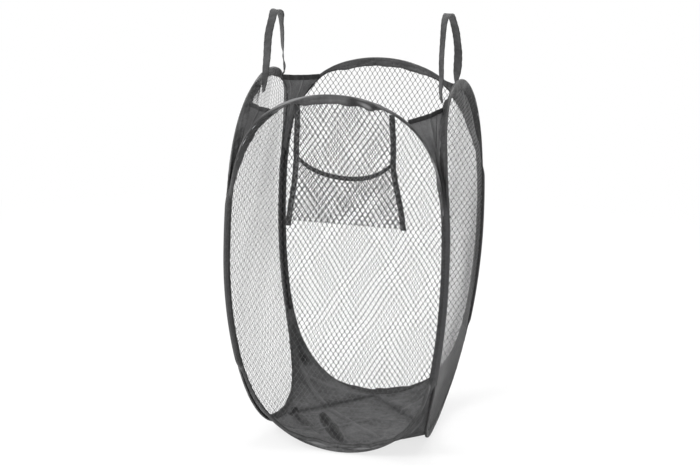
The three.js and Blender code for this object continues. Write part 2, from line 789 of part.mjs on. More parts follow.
// The pocket inside the front panel
function buildPocket() {
  const group = new THREE.Group();
  group.add(
    named("pocket_backing_net", pocketNetGeometry(backingEdgeAt, () => backingLift), netting),
    named("pocket_pouch_net", pocketNetGeometry(pouchEdgeAt, pouchLiftAt), netting),
    named("pocket_edge_binding", bindingGeometry(), tapeFabric),
    named("pocket_tape_left", pocketTapeGeometry(-1), tapeFabric),
    named("pocket_tape_right", pocketTapeGeometry(1), tapeFabric),
  );
  return group;
}

const hamper = new THREE.Group();
panels.forEach((panel) => hamper.add(buildPanel(panel)));
hamper.add(
  buildCorner(front, "front_right"),
  buildCorner(right, "back_right"),
  buildCorner(back, "back_left"),
  buildCorner(left, "front_left"),
  named("bottom_cloth", bottomGeometry(), sleeveFabric),
  buildHandle(left, 0),
  buildHandle(right, rightHandleTilt),
  buildPocket(),
);

export default hamper;
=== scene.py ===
"""Looks of the pop up laundry hamper, laid out as an add-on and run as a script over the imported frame."""

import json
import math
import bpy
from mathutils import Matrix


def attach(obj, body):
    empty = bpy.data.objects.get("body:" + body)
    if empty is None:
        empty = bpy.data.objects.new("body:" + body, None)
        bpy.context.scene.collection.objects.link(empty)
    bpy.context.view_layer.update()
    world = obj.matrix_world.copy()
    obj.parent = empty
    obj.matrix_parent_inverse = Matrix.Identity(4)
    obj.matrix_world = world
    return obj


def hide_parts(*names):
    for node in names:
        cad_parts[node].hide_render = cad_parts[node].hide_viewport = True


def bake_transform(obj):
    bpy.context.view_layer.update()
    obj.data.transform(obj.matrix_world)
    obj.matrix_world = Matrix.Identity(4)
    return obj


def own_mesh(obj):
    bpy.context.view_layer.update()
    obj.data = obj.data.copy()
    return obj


bl_info = {
    "name": "Pop Up Laundry Hamper",
    "version": (1, 0, 0),
    "blender": (4, 5, 0),
    "location": "View3D > Sidebar > Hamper",
    "description": "Builds the sleeves, nets, cloth, straps and pocket of a pop up laundry hamper",
    "category": "Add Mesh",
}

from functools import cache

import bmesh
import bpy
import numpy as np
from bpy.props import FloatProperty, FloatVectorProperty, IntProperty, PointerProperty
from mathutils import Matrix, Vector

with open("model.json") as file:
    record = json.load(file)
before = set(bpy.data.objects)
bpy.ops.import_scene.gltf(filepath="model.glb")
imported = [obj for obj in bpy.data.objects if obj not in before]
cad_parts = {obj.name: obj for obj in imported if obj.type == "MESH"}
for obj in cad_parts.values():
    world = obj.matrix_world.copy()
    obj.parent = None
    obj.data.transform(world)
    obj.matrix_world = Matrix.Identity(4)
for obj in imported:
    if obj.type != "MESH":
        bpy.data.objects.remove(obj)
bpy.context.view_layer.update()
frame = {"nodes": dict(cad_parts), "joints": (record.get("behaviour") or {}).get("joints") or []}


# ---------------------------------------------------------------- sizes and colours


def length(name, description, default):
    return FloatProperty(name=name, description=description, default=default, unit="LENGTH", precision=5)


def number(name, description, default):
    return FloatProperty(name=name, description=description, default=default, precision=4)


def turn(name, description, degrees):
    return FloatProperty(name=name, description=description, default=math.radians(degrees), subtype="ANGLE")


def count(name, description, default):
    return IntProperty(name=name, description=description, default=default, min=1)


def colour(name, description, default):
    return FloatVectorProperty(
        name=name, description=description, default=default, subtype="COLOR", size=3, min=0, max=1
    )


class HamperBody(bpy.types.PropertyGroup):
    """The stance of the four panels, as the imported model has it."""

    height: length("Height", "Height of the loops over the floor", 0.610)
    half: length("Half width", "From the middle to a panel at its widest", 0.181)
    waist: length("Waist height", "Height at which the panels stand furthest apart", 0.336)
    rise: length("Foot rise", "Height of the loops' lowest edge", 0.0014)
    crown_squareness: number("Crown squareness", "Power of the loop's upper outline", 5.4)
    foot_squareness: number("Foot squareness", "Power of the loop's lower outline", 6.2)


# How far each panel leans in at its crown and at its foot
LEANS = {"front": (-0.009, 0.045), "right": (0.025, 0.045), "back": (0.005, 0.035), "left": (0.021, 0.060)}
for side, leans in LEANS.items():
    for end, lean in zip(("crown", "foot"), leans):
        words = f"How far the {side} panel leans in at its {end}"
        HamperBody.__annotations__[f"{side}_{end}"] = length(f"{side.capitalize()} {end} lean", words, lean)


class HamperSleeve(bpy.types.PropertyGroup):
    """The folded cloth round each wire."""

    width: length("Width", "Width of the sleeve at crown and foot", 0.015)
    side_width: length("Side width", "Width of the sleeve along the upright corners", 0.0052)
    turn_in: number("Turn at the gussets", "How far the gussets turn the sleeves in, 1 as photographed", 1.0)
    half: length("Half thickness", "Half thickness over the wire at crown and foot", 0.0028)
    side_half: length("Side half thickness", "Half thickness over the wire along the upright corners", 0.0020)
    room: length("Corner room", "Room that each sleeve has in a corner, from the panel's middle", 0.0033)
    leaf: length("Leaf half thickness", "Half thickness at the open edge", 0.0012)
    mouth: length("Mouth", "Half gap between the leaves at the net", 0.0003)
    lip: length("Lip", "How deep the gap between the leaves is", 0.0020)
    over_wire: length("Wire chamber", "How far the wire's chamber reaches in from the fold", 0.0042)
    pucker: length("Pucker", "Height of the small puckers across the sleeve", 0.0009)
    waver: length("Waver", "How far the open edge wavers", 0.0007)
    stations: count("Stations", "Sections along one loop", 900)
    stitch_pitch: length("Stitch pitch", "From one stitch to the next", 0.0042)
    stitch_length: length("Stitch length", "Length of a stitch", 0.0029)
    stitch_width: length("Stitch width", "Width of a stitch", 0.0007)
    stitch_inset: length("Stitch inset", "From the open edge to the stitch line", 0.0022)


class HamperNet(bpy.types.PropertyGroup):
    """The knotted mesh of the panels and the pocket."""

    cell_width: length("Cell width", "From knot to knot across", 0.0090)
    cell_height: length("Cell height", "From knot to knot upwards", 0.0140)
    knot: length("Knot length", "Length of a knot", 0.0014)
    strand: length("Strand width", "Width of one strand", 0.00080)
    knot_width: length("Knot width", "Width of a knot", 0.00115)
    flatness: number("Flatness", "Thickness of a strand as a share of its width", 0.35)
    stray: length("Stray", "How far the knots stray from their rows", 0.0012)


class HamperCorner(bpy.types.PropertyGroup):
    """Corner tapes, gussets and hems."""

    seam_foot: length("Seam foot", "Height at which the corner tape starts", 0.132)
    seam_crown: length("Seam crown", "Height at which the corner tape ends", 0.492)
    tape: length("Tape thickness", "Thickness of the corner tape", 0.0008)
    tape_leg: length("Tape leg", "How far the tape reaches over each sleeve", 0.0042)
    parting: length("Parting", "How far under the seam's crown the sleeves part", 0.034)
    gusset_sag: length("Gusset sag", "How far the gussets' top edges sag in the middle", 0.0015)
    seam_lap: length("Seam lap", "How far in from the open edge a gusset is sewn", 0.0012)
    gusset_cloth: length("Gusset cloth", "Thickness of the gusset", 0.0007)
    crease: length("Crease", "Depth of the gusset's middle crease", 0.004)
    lap: length("Lap", "How far in from the fold cloth is sewn to a sleeve", 0.004)
    hem: length("Hem thickness", "Thickness of the gusset's hem", 0.0018)
    hem_height: length("Hem height", "Height of the gusset's hem", 0.0088)
    bottom_cloth: length("Bottom cloth", "Thickness of the cloth bottom", 0.0008)
    bottom_fold: length("Bottom fold", "Height of the folds in the cloth bottom", 0.0032)
    flat_share: number("Flat share", "Share of the bottom's middle that lies on the floor", 0.90)


class HamperStrap(bpy.types.PropertyGroup):
    """The strap handles."""

    width: length("Width", "Width of the strap", 0.015)
    thickness: length("Thickness", "Thickness of the strap", 0.0014)
    rise: number("Rise", "How far the handles rise over their pivots, 1 as photographed", 1.0)
    sewn: length("Sewn length", "How much of each end is sewn flat on its sleeve", 0.012)
    cup: length("Cupping", "How far the strap is cupped across its width", 0.0007)


class HamperPocket(bpy.types.PropertyGroup):
    """The net pocket inside the front panel."""

    top: length("Top", "Height at which the tapes' places are given", 0.586)
    foot: length("Foot", "Height of the pocket's foot", 0.401)
    tape_width: length("Tape width", "Width of the pocket's tapes", 0.009)
    tape_thickness: length("Tape thickness", "Thickness of the pocket's tapes", 0.0012)
    weight: number("Strand weight", "How heavy the pocket's strands are, against the net's", 1.75)
    edge: length("Edge height", "Height of the pouch's edge at the tapes", 0.504)
    dip: length("Edge dip", "How far the pouch's edge dips", 0.037)
    dip_squareness: number("Dip squareness", "Power of the edge's dip", 0.75)
    bulge: length("Bulge", "How far the pouch stands out", 0.017)
    binding: length("Binding height", "Height of the pouch's binding", 0.0076)


# Places of the pocket's tapes, and how far these hang below the pocket
TAPES = {"left": (-0.0662, -0.0657, -0.0765, 0.010), "right": (0.0857, 0.0888, 0.1080, 0.003)}
PLACES = {
    "top": ("tape at the top", "Place of the {} tape at the top"),
    "knee": ("tape at the edge", "Place of the {} tape at the pouch's edge"),
    "foot": ("tape at the foot", "Place of the {} tape at the foot"),
    "tail": ("tail", "How far the {} tape hangs below the pocket"),
}
for side, sizes in TAPES.items():
    for (end, (label, words)), size in zip(PLACES.items(), sizes):
        label = f"{side.capitalize()} {label}"
        HamperPocket.__annotations__[f"{side}_{end}"] = length(label, words.format(side), size)


class HamperColours(bpy.types.PropertyGroup):
    """Colours of the cloths, the net and the wire."""

    sleeve: colour("Sleeve", "Smooth woven cloth of the sleeves", (0.062, 0.062, 0.063))
    gusset: colour("Gusset", "Thin cloth of the gussets", (0.125, 0.125, 0.127))
    bottom: colour("Bottom", "Thin cloth of the bottom", (0.044, 0.044, 0.045))
    tape: colour("Tape", "Hems, bindings and corner tapes", (0.014, 0.014, 0.0145))
    strap: colour("Strap", "Handles", (0.030, 0.030, 0.031))
    net: colour("Net", "Strands of the net", (0.080, 0.080, 0.081))
    thread: colour("Thread", "Stitches", (0.060, 0.060, 0.061))
    steel: colour("Steel", "Spring wire and ferrules", (0.52, 0.53, 0.55))


class HamperStage(bpy.types.PropertyGroup):
    """Camera, floor and lamps."""

    azimuth: turn("Azimuth", "Turn of the camera round the hamper", 11.81)
    elevation: turn("Elevation", "Height angle of the camera", 15.44)
    roll: turn("Roll", "Roll of the camera", 1.72)
    distance: length("Distance", "From the camera to the middle of the hamper", 3.203)
    aim: length("Aim height", "Height that the camera looks at", 0.305)
    lens: number("Lens", "Focal length in millimetres", 97.97)
    shift_x: number("Shift across", "Lens shift across", -0.0114)
    shift_y: number("Shift up", "Lens shift up", 0.0289)
    key: number("Key lamp", "Power of the key lamp in watts", 88)
    fill: number("Fill lamp", "Power of the fill lamp in watts", 5)
    rim: number("Rim lamp", "Power of the lamp behind in watts", 30)
    top: number("Top lamp", "Power of the lamp above in watts", 26)
    world: number("World", "Strength of the even light from all sides", 0.62)


GROUPS = {
    "body": HamperBody,
    "sleeve": HamperSleeve,
    "net": HamperNet,
    "corner": HamperCorner,
    "strap": HamperStrap,
    "pocket": HamperPocket,
    "colours": HamperColours,
    "stage": HamperStage,
}


def settings(group):
    return getattr(bpy.context.scene, "hamper_" + group)


# ---------------------------------------------------------------- the shape of a panel


class Panel:
    """One panel: x runs along it, z is up, and lift is outwards from its surface."""

    def __init__(self, name, quarter):
        body = settings("body")
        self.name = name
        self.turn = quarter * math.pi / 2
        self.seed = 1.0 + 1.7 * quarter
        self.crown_lean = getattr(body, name + "_crown")
        self.foot_lean = getattr(body, name + "_foot")

    def reach(self, z):
        """Heights, the span from the waist to the panel's end on their side, and its lean at that end."""
        body = settings("body")
        z = np.asarray(z, float)
        above = z > body.waist
        span = np.where(above, body.height - body.waist, body.waist)
        lean = np.where(above, self.crown_lean, self.foot_lean)
        return z, span, lean

    def depth(self, z):
        body = settings("body")
        z, span, lean = self.reach(z)
        return body.half - lean * ((z - body.waist) / span) ** 2

    def normal(self, z):
        body = settings("body")
        z, span, lean = self.reach(z)
        slope = -2 * lean * (z - body.waist) / span**2
        size = np.sqrt(1 + slope**2)
        return np.stack([0 * slope, -1 / size, -slope / size], -1)

    def point(self, t, z, lift):
        """Points on the panel, in the hamper's frame."""
        t, z, lift = np.broadcast_arrays(np.asarray(t, float), z, lift)
        local = np.stack([t, -self.depth(z), z], -1) + self.normal(z) * np.asarray(lift)[..., None]
        return self.to_body(local)

    def to_body(self, local):
        c, s = math.cos(self.turn), math.sin(self.turn)
        x, y = local[..., 0], local[..., 1]
        return np.stack([x * c - y * s, x * s + y * c, local[..., 2]], -1)

    def spot(self, x, y, z=0.0):
        """One place, or one way, that is given in the panel's own frame."""
        return self.to_body(np.array([x, y, z]))


@cache
def panels_now():
    """The four panels by name, each with its neighbours."""
    panels = [Panel(name, quarter) for quarter, name in enumerate(("front", "right", "back", "left"))]
    for i, panel in enumerate(panels):
        panel.next, panel.previous = panels[(i + 1) % 4], panels[i - 1]
    return {panel.name: panel for panel in panels}


def side_curve(panel, way):
    """Half widths towards the next and the previous panel, height and rise, at ways from -1 (foot) to 1 (crown)."""
    body = settings("body")
    climb = np.sin(way * math.pi / 2)
    power = np.where(climb > 0, body.crown_squareness, body.foot_squareness)
    z = body.rise + (body.height - body.rise) * (1 + climb) / 2
    out = np.sqrt(np.clip(1 - np.abs(climb) ** power, 0, 1))
    inset = settings("sleeve").room + CLEARANCE
    to_next = panel.next.depth(z) - inset
    to_previous = panel.previous.depth(z) - inset
    middle, half = (to_next - to_previous) / 2, (to_next + to_previous) / 2
    return middle + half * out, middle - half * out, z, out


# Room left between two pieces that lie on each other, in metres as every size here
CLEARANCE = 0.0003

# Stations round a loop where a place on it is only looked up: where that is roughly enough, and where it is fine
ROUGH, FINE = 720, 1440


class Rim:
    """Even stations round a panel's loop: place along it, height, way in, and how far round the side each is."""

    def __init__(self, panel, stations, fine=3000):
        self.panel = panel
        way = np.sin(np.linspace(-1, 1, fine) * math.pi / 2)
        to_next, to_previous, z, out = side_curve(panel, way)
        up_and_down = ((to_next, to_previous), (z, z), (out, out))
        around = [np.concatenate([up, down[-2:0:-1], up[:1]]) for up, down in up_and_down]
        run = np.concatenate([[0], np.cumsum(np.hypot(np.diff(around[0]), np.diff(around[1])))])
        at = np.linspace(0, run[-1], stations, endpoint=False)
        self.t, self.z, self.side = (np.interp(at, run, values) for values in around)
        self.run, self.total = at, run[-1]
        self.share = at / run[-1]
        along = unit(np.stack([np.roll(v, -1) - np.roll(v, 1) for v in (self.t, self.z)], -1))
        self.into = np.stack([-along[:, 1], along[:, 0]], -1)

    def inset(self, distance):
        return self.t + self.into[:, 0] * distance, self.z + self.into[:, 1] * distance


def ripple(share_of_loop, tones):
    """A smooth waver round a loop that closes on itself: tones are (whole waves, phase, size)."""
    return sum(size * np.sin(2 * math.pi * waves * share_of_loop + phase) for waves, phase, size in tones)


def smooth(low, high, value):
    """From 0 at low to 1 at high, with soft ends."""
    share_done = np.clip((value - low) / (high - low), 0, 1)
    return share_done * share_done * (3 - 2 * share_done)


def bell(value, middle, spread):
    """A hump of height 1 round a middle."""
    return np.exp(-(((value - middle) / spread) ** 2))


def humps(value, rows):
    """Humps added up: rows are (middle, spread, height)."""
    return sum(height * bell(value, middle, spread) for middle, spread, height in rows)


def unit(vectors):
    """The vectors at length 1."""
    return vectors / np.maximum(np.linalg.norm(vectors, axis=-1), 1e-12)[..., None]


def run_along(points):
    """How far along a row of points each of them lies."""
    return np.concatenate([[0], np.cumsum(np.linalg.norm(np.diff(points, axis=0), axis=1))])


def follow(points, run, at):
    """Points at distances along a row of points whose run is known."""
    return np.stack([np.interp(at, run, points[:, k]) for k in range(3)], -1)


# How far the gussets turn each sleeve inwards, in degrees: towards the next panel, towards the previous one
TURNED_IN = {"front": (70, 52), "right": (50, 62), "back": (58, 58), "left": (62, 36)}

# Small extra turns of a sleeve: share of the loop, spread, degrees
SLEEVE_TWISTS = {
    "front": (
        (0.548, 0.012, 22), (0.492, 0.010, -14), (0.474, 0.008, 24), (0.463, 0.005, -20), (0.453, 0.006, 18),
        (0.060, 0.016, 16), (0.945, 0.012, -16), (0.975, 0.010, 14), (0.20, 0.06, 26), (0.31, 0.06, 32),
    ),
    "right": ((0.10, 0.04, 14), (0.60, 0.02, -12), (0.90, 0.03, 10)),
    "back": ((0.43, 0.012, 10), (0.53, 0.015, -12), (0.58, 0.012, 15), (0.18, 0.07, 42), (0.31, 0.07, 44)),
    "left": ((0.55, 0.03, -12), (0.40, 0.012, 18), (0.43, 0.010, -14), (0.08, 0.03, 10)),
}


def turn_in(panel, t, z):
    """How far a sleeve is turned inwards at a place on its loop, by the gussets that pull at it."""
    corner = settings("corner")
    up = smooth(corner.seam_crown - 0.045, corner.seam_crown + 0.02, z)
    aside = smooth(0.035, 0.1, np.abs(t))
    ahead, behind = np.radians(TURNED_IN[panel.name])
    return settings("sleeve").turn_in * up * aside * np.where(np.asarray(t) > 0, ahead, behind)


def sleeve_turn(rim):
    """The whole turn of a sleeve about its wire, all round its loop."""
    twists = [(middle, spread, math.radians(size)) for middle, spread, size in SLEEVE_TWISTS[rim.panel.name]]
    sway = math.radians(3) * ripple(rim.share, [(5, rim.panel.seed, 0.6), (9, rim.panel.seed * 2, 0.5)])
    return turn_in(rim.panel, rim.t, rim.z) + humps(rim.share, twists) + sway


def waver(points, tones):
    """A smooth waver over a surface: tones are (waves per metre along x, y and z, phase, size)."""
    return sum(size * np.sin(2 * math.pi * (points @ np.array(wave)) + phase) for wave, phase, size in tones)


# ---------------------------------------------------------------- meshes


def mesh_object(name, points, faces, edges=()):
    mesh = bpy.data.meshes.new(name)
    mesh.from_pydata(np.asarray(points, float).reshape(-1, 3).tolist(), [tuple(e) for e in edges], faces)
    mesh.validate()
    made = bpy.data.objects.new(name, mesh)
    bpy.context.scene.collection.objects.link(made)
    return made


def grid_faces(rows, columns, closed_rows=False, closed_columns=False):
    """Quads over a grid of points in rows."""
    faces = []
    for r in range(rows if closed_rows else rows - 1):
        for c in range(columns if closed_columns else columns - 1):
            a, b = r * columns + c, r * columns + (c + 1) % columns
            d, e = ((r + 1) % rows) * columns + c, ((r + 1) % rows) * columns + (c + 1) % columns
            faces.append((a, b, e, d))
    return faces


def paint(made, finish):
    made.data.materials.clear()
    made.data.materials.append(finish_of(finish))


def smooth_faces(made):
    for face in made.data.polygons:
        face.use_smooth = True


def finish_mesh(made, finish, merge=0.0):
    """Outward faces, smooth shading and the finish."""
    work = bmesh.new()
    work.from_mesh(made.data)
    if merge:
        bmesh.ops.remove_doubles(work, verts=work.verts, dist=merge)
    bmesh.ops.recalc_face_normals(work, faces=work.faces)
    work.to_mesh(made.data)
    work.free()
    smooth_faces(made)
    paint(made, finish)
    return made


def settle(made, modifier):
    """Keeps what a modifier makes as the object's plain mesh."""
    bpy.context.view_layer.update()
    result = bpy.data.meshes.new_from_object(made.evaluated_get(bpy.context.evaluated_depsgraph_get()))
    made.modifiers.remove(modifier)
    made.data = result


def sweep(name, rings, finish, closed=False):
    """Rings of points joined along a path."""
    rows, columns = rings.shape[:2]
    faces = grid_faces(rows, columns, closed_rows=closed, closed_columns=True)
    if not closed:
        faces += [tuple(range(columns)), tuple(range((rows - 1) * columns, rows * columns))]
    return finish_mesh(mesh_object(name, rings.reshape(-1, 3), faces), finish)


def sheet_object(name, grid, thickness, finish):
    """A closed sheet round a grid of points: its upper side, its lower side, and the faces that join them."""
    rows, columns = grid.shape[:2]
    normal = unit(np.cross(np.gradient(grid, axis=1), np.gradient(grid, axis=0)))
    points = np.stack([grid + normal * thickness / 2, grid - normal * thickness / 2]).reshape(-1, 3)
    base = rows * columns
    upper = grid_faces(rows, columns)
    faces = upper + [tuple(base + v for v in reversed(face)) for face in upper]
    loop = [c for c in range(columns)] + [r * columns + columns - 1 for r in range(1, rows)]
    loop += [(rows - 1) * columns + c for c in range(columns - 2, -1, -1)]
    loop += [r * columns for r in range(rows - 2, 0, -1)]
    faces += [(a, b, b + base, a + base) for a, b in zip(loop, loop[1:] + loop[:1])]
    return finish_mesh(mesh_object(name, points, faces), finish)


def set_uv(made, u, v):
    """Writes a UV map from values at the points."""
    layer = made.data.uv_layers.new(name="along")
    at = np.zeros(len(made.data.loops), np.int32)
    made.data.loops.foreach_get("vertex_index", at)
    layer.data.foreach_set("uv", np.stack([u[at], v[at]], -1).astype(np.float32).ravel())


def grid_uv(made, along, across):
    """Writes the UV map of a piece that is swept from rings: how far along each ring is, and across each point."""
    set_uv(made, np.repeat(along, len(across)), np.tile(across, len(along)))


def set_value(made, name, values, kind="FLOAT", domain="POINT"):
    """Writes a value at each point, or at each edge, that a material or a node tree reads."""
    key = "vector" if kind == "FLOAT_VECTOR" else "value"
    values = np.asarray(values, bool if kind == "BOOLEAN" else np.float32)
    made.data.attributes.new(name, kind, domain).data.foreach_set(key, values.ravel())


def fit(made, node=None, body=None):
    """Hides the solid that a piece stands for and puts the piece on the body that it rides, where these are given."""
    if node:
        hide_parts(node)
    if body:
        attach(made, body)
    return made


# ---------------------------------------------------------------- shader maths


def plug(tree, place, value):
    """Sets a socket's value, or links it to another socket, to a value's socket or to a node's first output."""
    if isinstance(value, Value):
        value = value.socket
    elif isinstance(value, bpy.types.Node):
        value = value.outputs[0]
    if isinstance(value, bpy.types.NodeSocket):
        tree.links.new(value, place)
    else:
        place.default_value = value


def add_node(tree, kind, options=None, sockets=None):
    """Any node: its options first, then the values or links of its sockets, by name or number."""
    made = tree.nodes.new(kind)
    for name, value in (options or {}).items():
        setattr(made, name, value)
    for name, value in (sockets or {}).items():
        plug(tree, made.inputs[name], value)
    return made


class Value:
    """A shader socket whose operators add Math nodes."""

    def __init__(self, tree, socket):
        self.tree, self.socket = tree, socket

    def math(self, operation, *sockets):
        """The result of a Math node with these inputs."""
        node = add_node(self.tree, "ShaderNodeMath", {"operation": operation}, dict(enumerate(sockets)))
        return Value(self.tree, node.outputs[0])

    def __add__(self, other):
        return self.math("ADD", self, other)

    def __sub__(self, other):
        return self.math("SUBTRACT", self, other)

    def __rsub__(self, other):
        return self.math("SUBTRACT", other, self)

    def __mul__(self, other):
        return self.math("MULTIPLY", self, other)

    def __pow__(self, power):
        return self.math("POWER", self, power)

    __radd__, __rmul__ = __add__, __mul__

    def absolute(self):
        return self.math("ABSOLUTE", self)

    def ribs(self, pitch):
        """Waves from -1 to 1 with a thread on each pitch, in metres."""
        return self.math("SINE", self * (math.pi / pitch))

    def halved(self):
        """From 0 to 1 what ran from -1 to 1."""
        return self * 0.5 + 0.5

    def steeper(self, slope):
        """Spread round a half, and kept from 0 to 1."""
        return ((self - 0.5) * slope + 0.5).clamped()

    def clamped(self):
        made = self.math("ADD", self, 0.0)
        made.socket.node.use_clamp = True
        return made


class Finish:
    """One procedural material in shades of one colour, built with a few plain steps."""

    def __init__(self, name, colour, roughness, sheen=0.0, metallic=0.0, specular=0.5):
        self.colour = colour
        self.material = bpy.data.materials.new(name)
        self.material.use_nodes = True
        self.tree = self.material.node_tree
        self.shader = self.tree.nodes["Principled BSDF"]
        self.set("Roughness", roughness)
        self.set("Metallic", metallic)
        self.set("Sheen Weight", sheen)
        self.set("Sheen Roughness", 0.4)
        self.set("Specular IOR Level", specular)

    def set(self, socket, value):
        plug(self.tree, self.shader.inputs[socket], value)

    def add(self, kind, output=0, options=None, sockets=None):
        """One output of a new node."""
        return Value(self.tree, add_node(self.tree, kind, options, sockets).outputs[output])

    def place(self):
        return self.add("ShaderNodeTexCoord", "Object")

    def along(self):
        return self.add("ShaderNodeUVMap", "UV", {"uv_map": "along"})

    def attribute(self, name):
        return self.add("ShaderNodeAttribute", "Fac", {"attribute_name": name})

    def split(self, vector):
        node = add_node(self.tree, "ShaderNodeSeparateXYZ", None, {"Vector": vector})
        return [Value(self.tree, socket) for socket in node.outputs]

    def noise(self, vector, scale, detail=3.0, roughness=0.55):
        """Noise at one scale, or at a scale for each axis, so that it runs along a seam or across it."""
        if isinstance(scale, tuple):
            vector = self.add("ShaderNodeVectorMath", 0, {"operation": "MULTIPLY"}, {0: vector, 1: scale})
            scale = 1.0
        sockets = {"Vector": vector, "Scale": scale, "Detail": detail, "Roughness": roughness}
        return self.add("ShaderNodeTexNoise", "Fac", None, sockets)

    def shade(self, factor):
        """The finish's colour, made darker or lighter."""
        return (*(min(1.0, c * factor) for c in self.colour), 1)

    def blend(self, low, high, mask):
        """Between two colours, by a mask: each is a socket, or a factor of the finish's colour."""
        low, high = (end if isinstance(end, Value) else self.shade(end) for end in (low, high))
        return self.add("ShaderNodeMix", 2, {"data_type": "RGBA"}, {0: mask, 6: low, 7: high})

    def tint(self, colour, factor, mask):
        """A colour mixed towards another shade by a mask that is kept from 0 to 1."""
        return self.blend(colour, factor, mask.clamped())

    def weave(self, pitch):
        """Height of a plain weave, from 0 to 1, at a thread pitch in metres, on the object's own place."""
        x, y, z = self.split(self.place())
        return ((x + y).ribs(pitch) * z.ribs(pitch)).halved()

    def done(self, colour, height, distance, roughness=None):
        """Sets what changes over the surface, and gives the material."""
        self.set("Base Color", colour)
        if roughness is not None:
            self.set("Roughness", roughness)
        sockets = {"Height": height, "Distance": distance, "Strength": 1.0}
        self.set("Normal", self.add("ShaderNodeBump", "Normal", None, sockets))
        return self.material


def sleeve_finish():
    made = Finish("sleeve_cloth", settings("colours").sleeve, 0.5, sheen=0.05, specular=0.4)
    along = made.along()
    cloud = made.noise(made.place(), 24.0, 5.0, 0.6)
    lengthwise = made.noise(along, (16.0, 330.0, 1.0), 3.0, 0.6)
    crosswise = made.noise(along, (190.0, 45.0, 1.0), 3.0, 0.6)
    lit = made.noise(along, (14.0, 60.0, 1.0), 2.0).steeper(5.0)
    # mottled cloth whose strong contrast is partly painted light and shade, standing in for the lit and shadowed
    # patches of wrinkles
    colour = made.blend(0.38, 1.9, (cloud * 0.5 + lengthwise * 0.4 + crosswise * 0.28 - 0.09).steeper(3.0))
    # painted light and shade: tone shades or lights whole stretches of a sleeve, edge and fold paint shade at its
    # open edge, mouth, fold and round its pressed folds, shine and lit paint a highlight along the fold, and lens
    # paints highlights on the pressed folds
    for factor, mask in (
        (0.22, (1 - made.attribute("tone")) * 0.86),
        (0.25, made.attribute("edge") * 0.9),
        (0.3, made.attribute("fold") * 0.7),
        (3.4, made.attribute("shine") * lit * 0.8),
        (3.0, made.attribute("lens") * 0.85),
    ):
        colour = made.tint(colour, factor, mask)
    height = made.weave(0.00055) * 0.12 + crosswise * 0.7 + lengthwise * 0.8 + cloud * 0.6
    return made.done(colour, height, 0.0021, 0.62 - cloud * 0.28)


def thin_cloth_finish(name, colour, dark, light, pitch, crinkle):
    made = Finish(name, colour, 0.75, sheen=0.1, specular=0.32)
    place = made.place()
    cloud = made.noise(place, 19.0, 5.0, 0.6)
    fine = made.noise(place, 420.0, 2.0)
    folds = made.noise(place, 62.0, 5.0, 0.6)
    worn = made.noise(place, (60.0, 95.0, 40.0), 4.0, 0.65)
    shades = made.blend(dark, light, (cloud * 0.55 + worn * 0.4 + fine * 0.2 - 0.08).steeper(2.6))
    # painted shade in creases, folds and shaded corners, then painted highlights along the folds' ridges
    shades = made.tint(shades, 0.22, made.attribute("crease") * 0.9)
    shades = made.tint(shades, 3.0, made.attribute("worn") * 0.5)
    return made.done(shades, made.weave(pitch) * 0.2 + folds + worn * 0.5, crinkle, 0.9 - cloud * 0.25)


def tape_finish():
    made = Finish("seam_tape", settings("colours").tape, 0.7, sheen=0.1, specular=0.35)
    rib = made.split(made.along())[0].ribs(0.0011).halved()
    fleck = made.noise(made.place(), 480.0, 2.0)
    cloud = made.noise(made.place(), 60.0, 3.0)
    colour = made.blend(0.5, 2.6, (rib * 0.3 + fleck * 0.55 + cloud * 0.5 - 0.2).steeper(2.2))
    colour = made.tint(colour, 5.0, made.attribute("light") * 0.5)
    return made.done(colour, rib * 0.6 + fleck * 0.6 + cloud * 0.5, 0.0006, 0.85 - fleck * 0.3)


def strap_finish():
    """Webbing whose edges are darker and whose middle is rubbed lighter in patches."""
    made = Finish("webbing", settings("colours").strap, 0.62, sheen=0.1, specular=0.38)
    u, v, _ = made.split(made.along())
    rows = ((u + v).ribs(0.0016) * (u - v).ribs(0.0016)).halved()
    edge = ((v.absolute() * (1 / 0.0075)) ** 6.0).clamped()
    cloud = made.noise(made.place(), 30.0, 4.0)
    wrinkle = made.noise(made.along(), (150.0, 60.0, 1.0), 3.0, 0.6)
    colour = made.blend(0.55, 2.3, (rows * 0.12 + cloud * 0.6 + wrinkle * 0.4 - 0.08).steeper(3.0))
    height = rows * 0.35 + wrinkle * 0.7 + cloud * 0.5
    return made.done(made.tint(colour, 0.3, edge * 0.85), height, 0.0011, 0.75 - cloud * 0.3)


def net_finish():
    made = Finish("netting", settings("colours").net, 0.65, sheen=0.22, specular=0.35)
    fuzz = made.noise(made.place(), 900.0, 2.0)
    tone = made.noise(made.place(), 12.0, 3.0)
    colour = made.blend(0.6, 1.5, (fuzz * 0.6 + tone * 0.5 - 0.05).clamped())
    return made.done(made.tint(colour, 0.25, made.attribute("shade") * 0.8), fuzz, 0.0002)


def thread_finish():
    made = Finish("thread", settings("colours").thread, 0.65, specular=0.4)
    twist = made.noise(made.place(), 1500.0, 1.0)
    return made.done(made.blend(0.7, 1.5, twist), twist, 0.0001)


def steel_finish():
    made = Finish("spring_steel", settings("colours").steel, 0.32, metallic=1.0)
    drawn = made.noise(made.place(), 260.0, 3.0)
    return made.done(made.blend(0.75, 1.15, drawn), drawn, 0.00008, 0.24 + drawn * 0.25)


def floor_finish():
    """Pale floor that the camera sees as white, with the hamper's soft shadow kept."""
    made = Finish("floor", (1.0, 1.0, 1.0), 0.9, specular=0.1)
    made.set("Base Color", made.blend(0.88, 0.92, made.noise(made.place(), 30.0, 2.0)))
    x, y, _ = made.split(made.place())
    far = (((x * x + y * y) ** 0.5 - 0.6) * 0.9).clamped()
    seen = made.add("ShaderNodeLightPath", "Is Camera Ray") * (far * 0.24 + 0.76)
    glow = made.add("ShaderNodeEmission", 0, None, {"Strength": 1.0})
    mix = made.add("ShaderNodeMixShader", 0, None, {0: seen, 1: made.shader, 2: glow})
    plug(made.tree, made.tree.nodes["Material Output"].inputs["Surface"], mix)
    return made.material


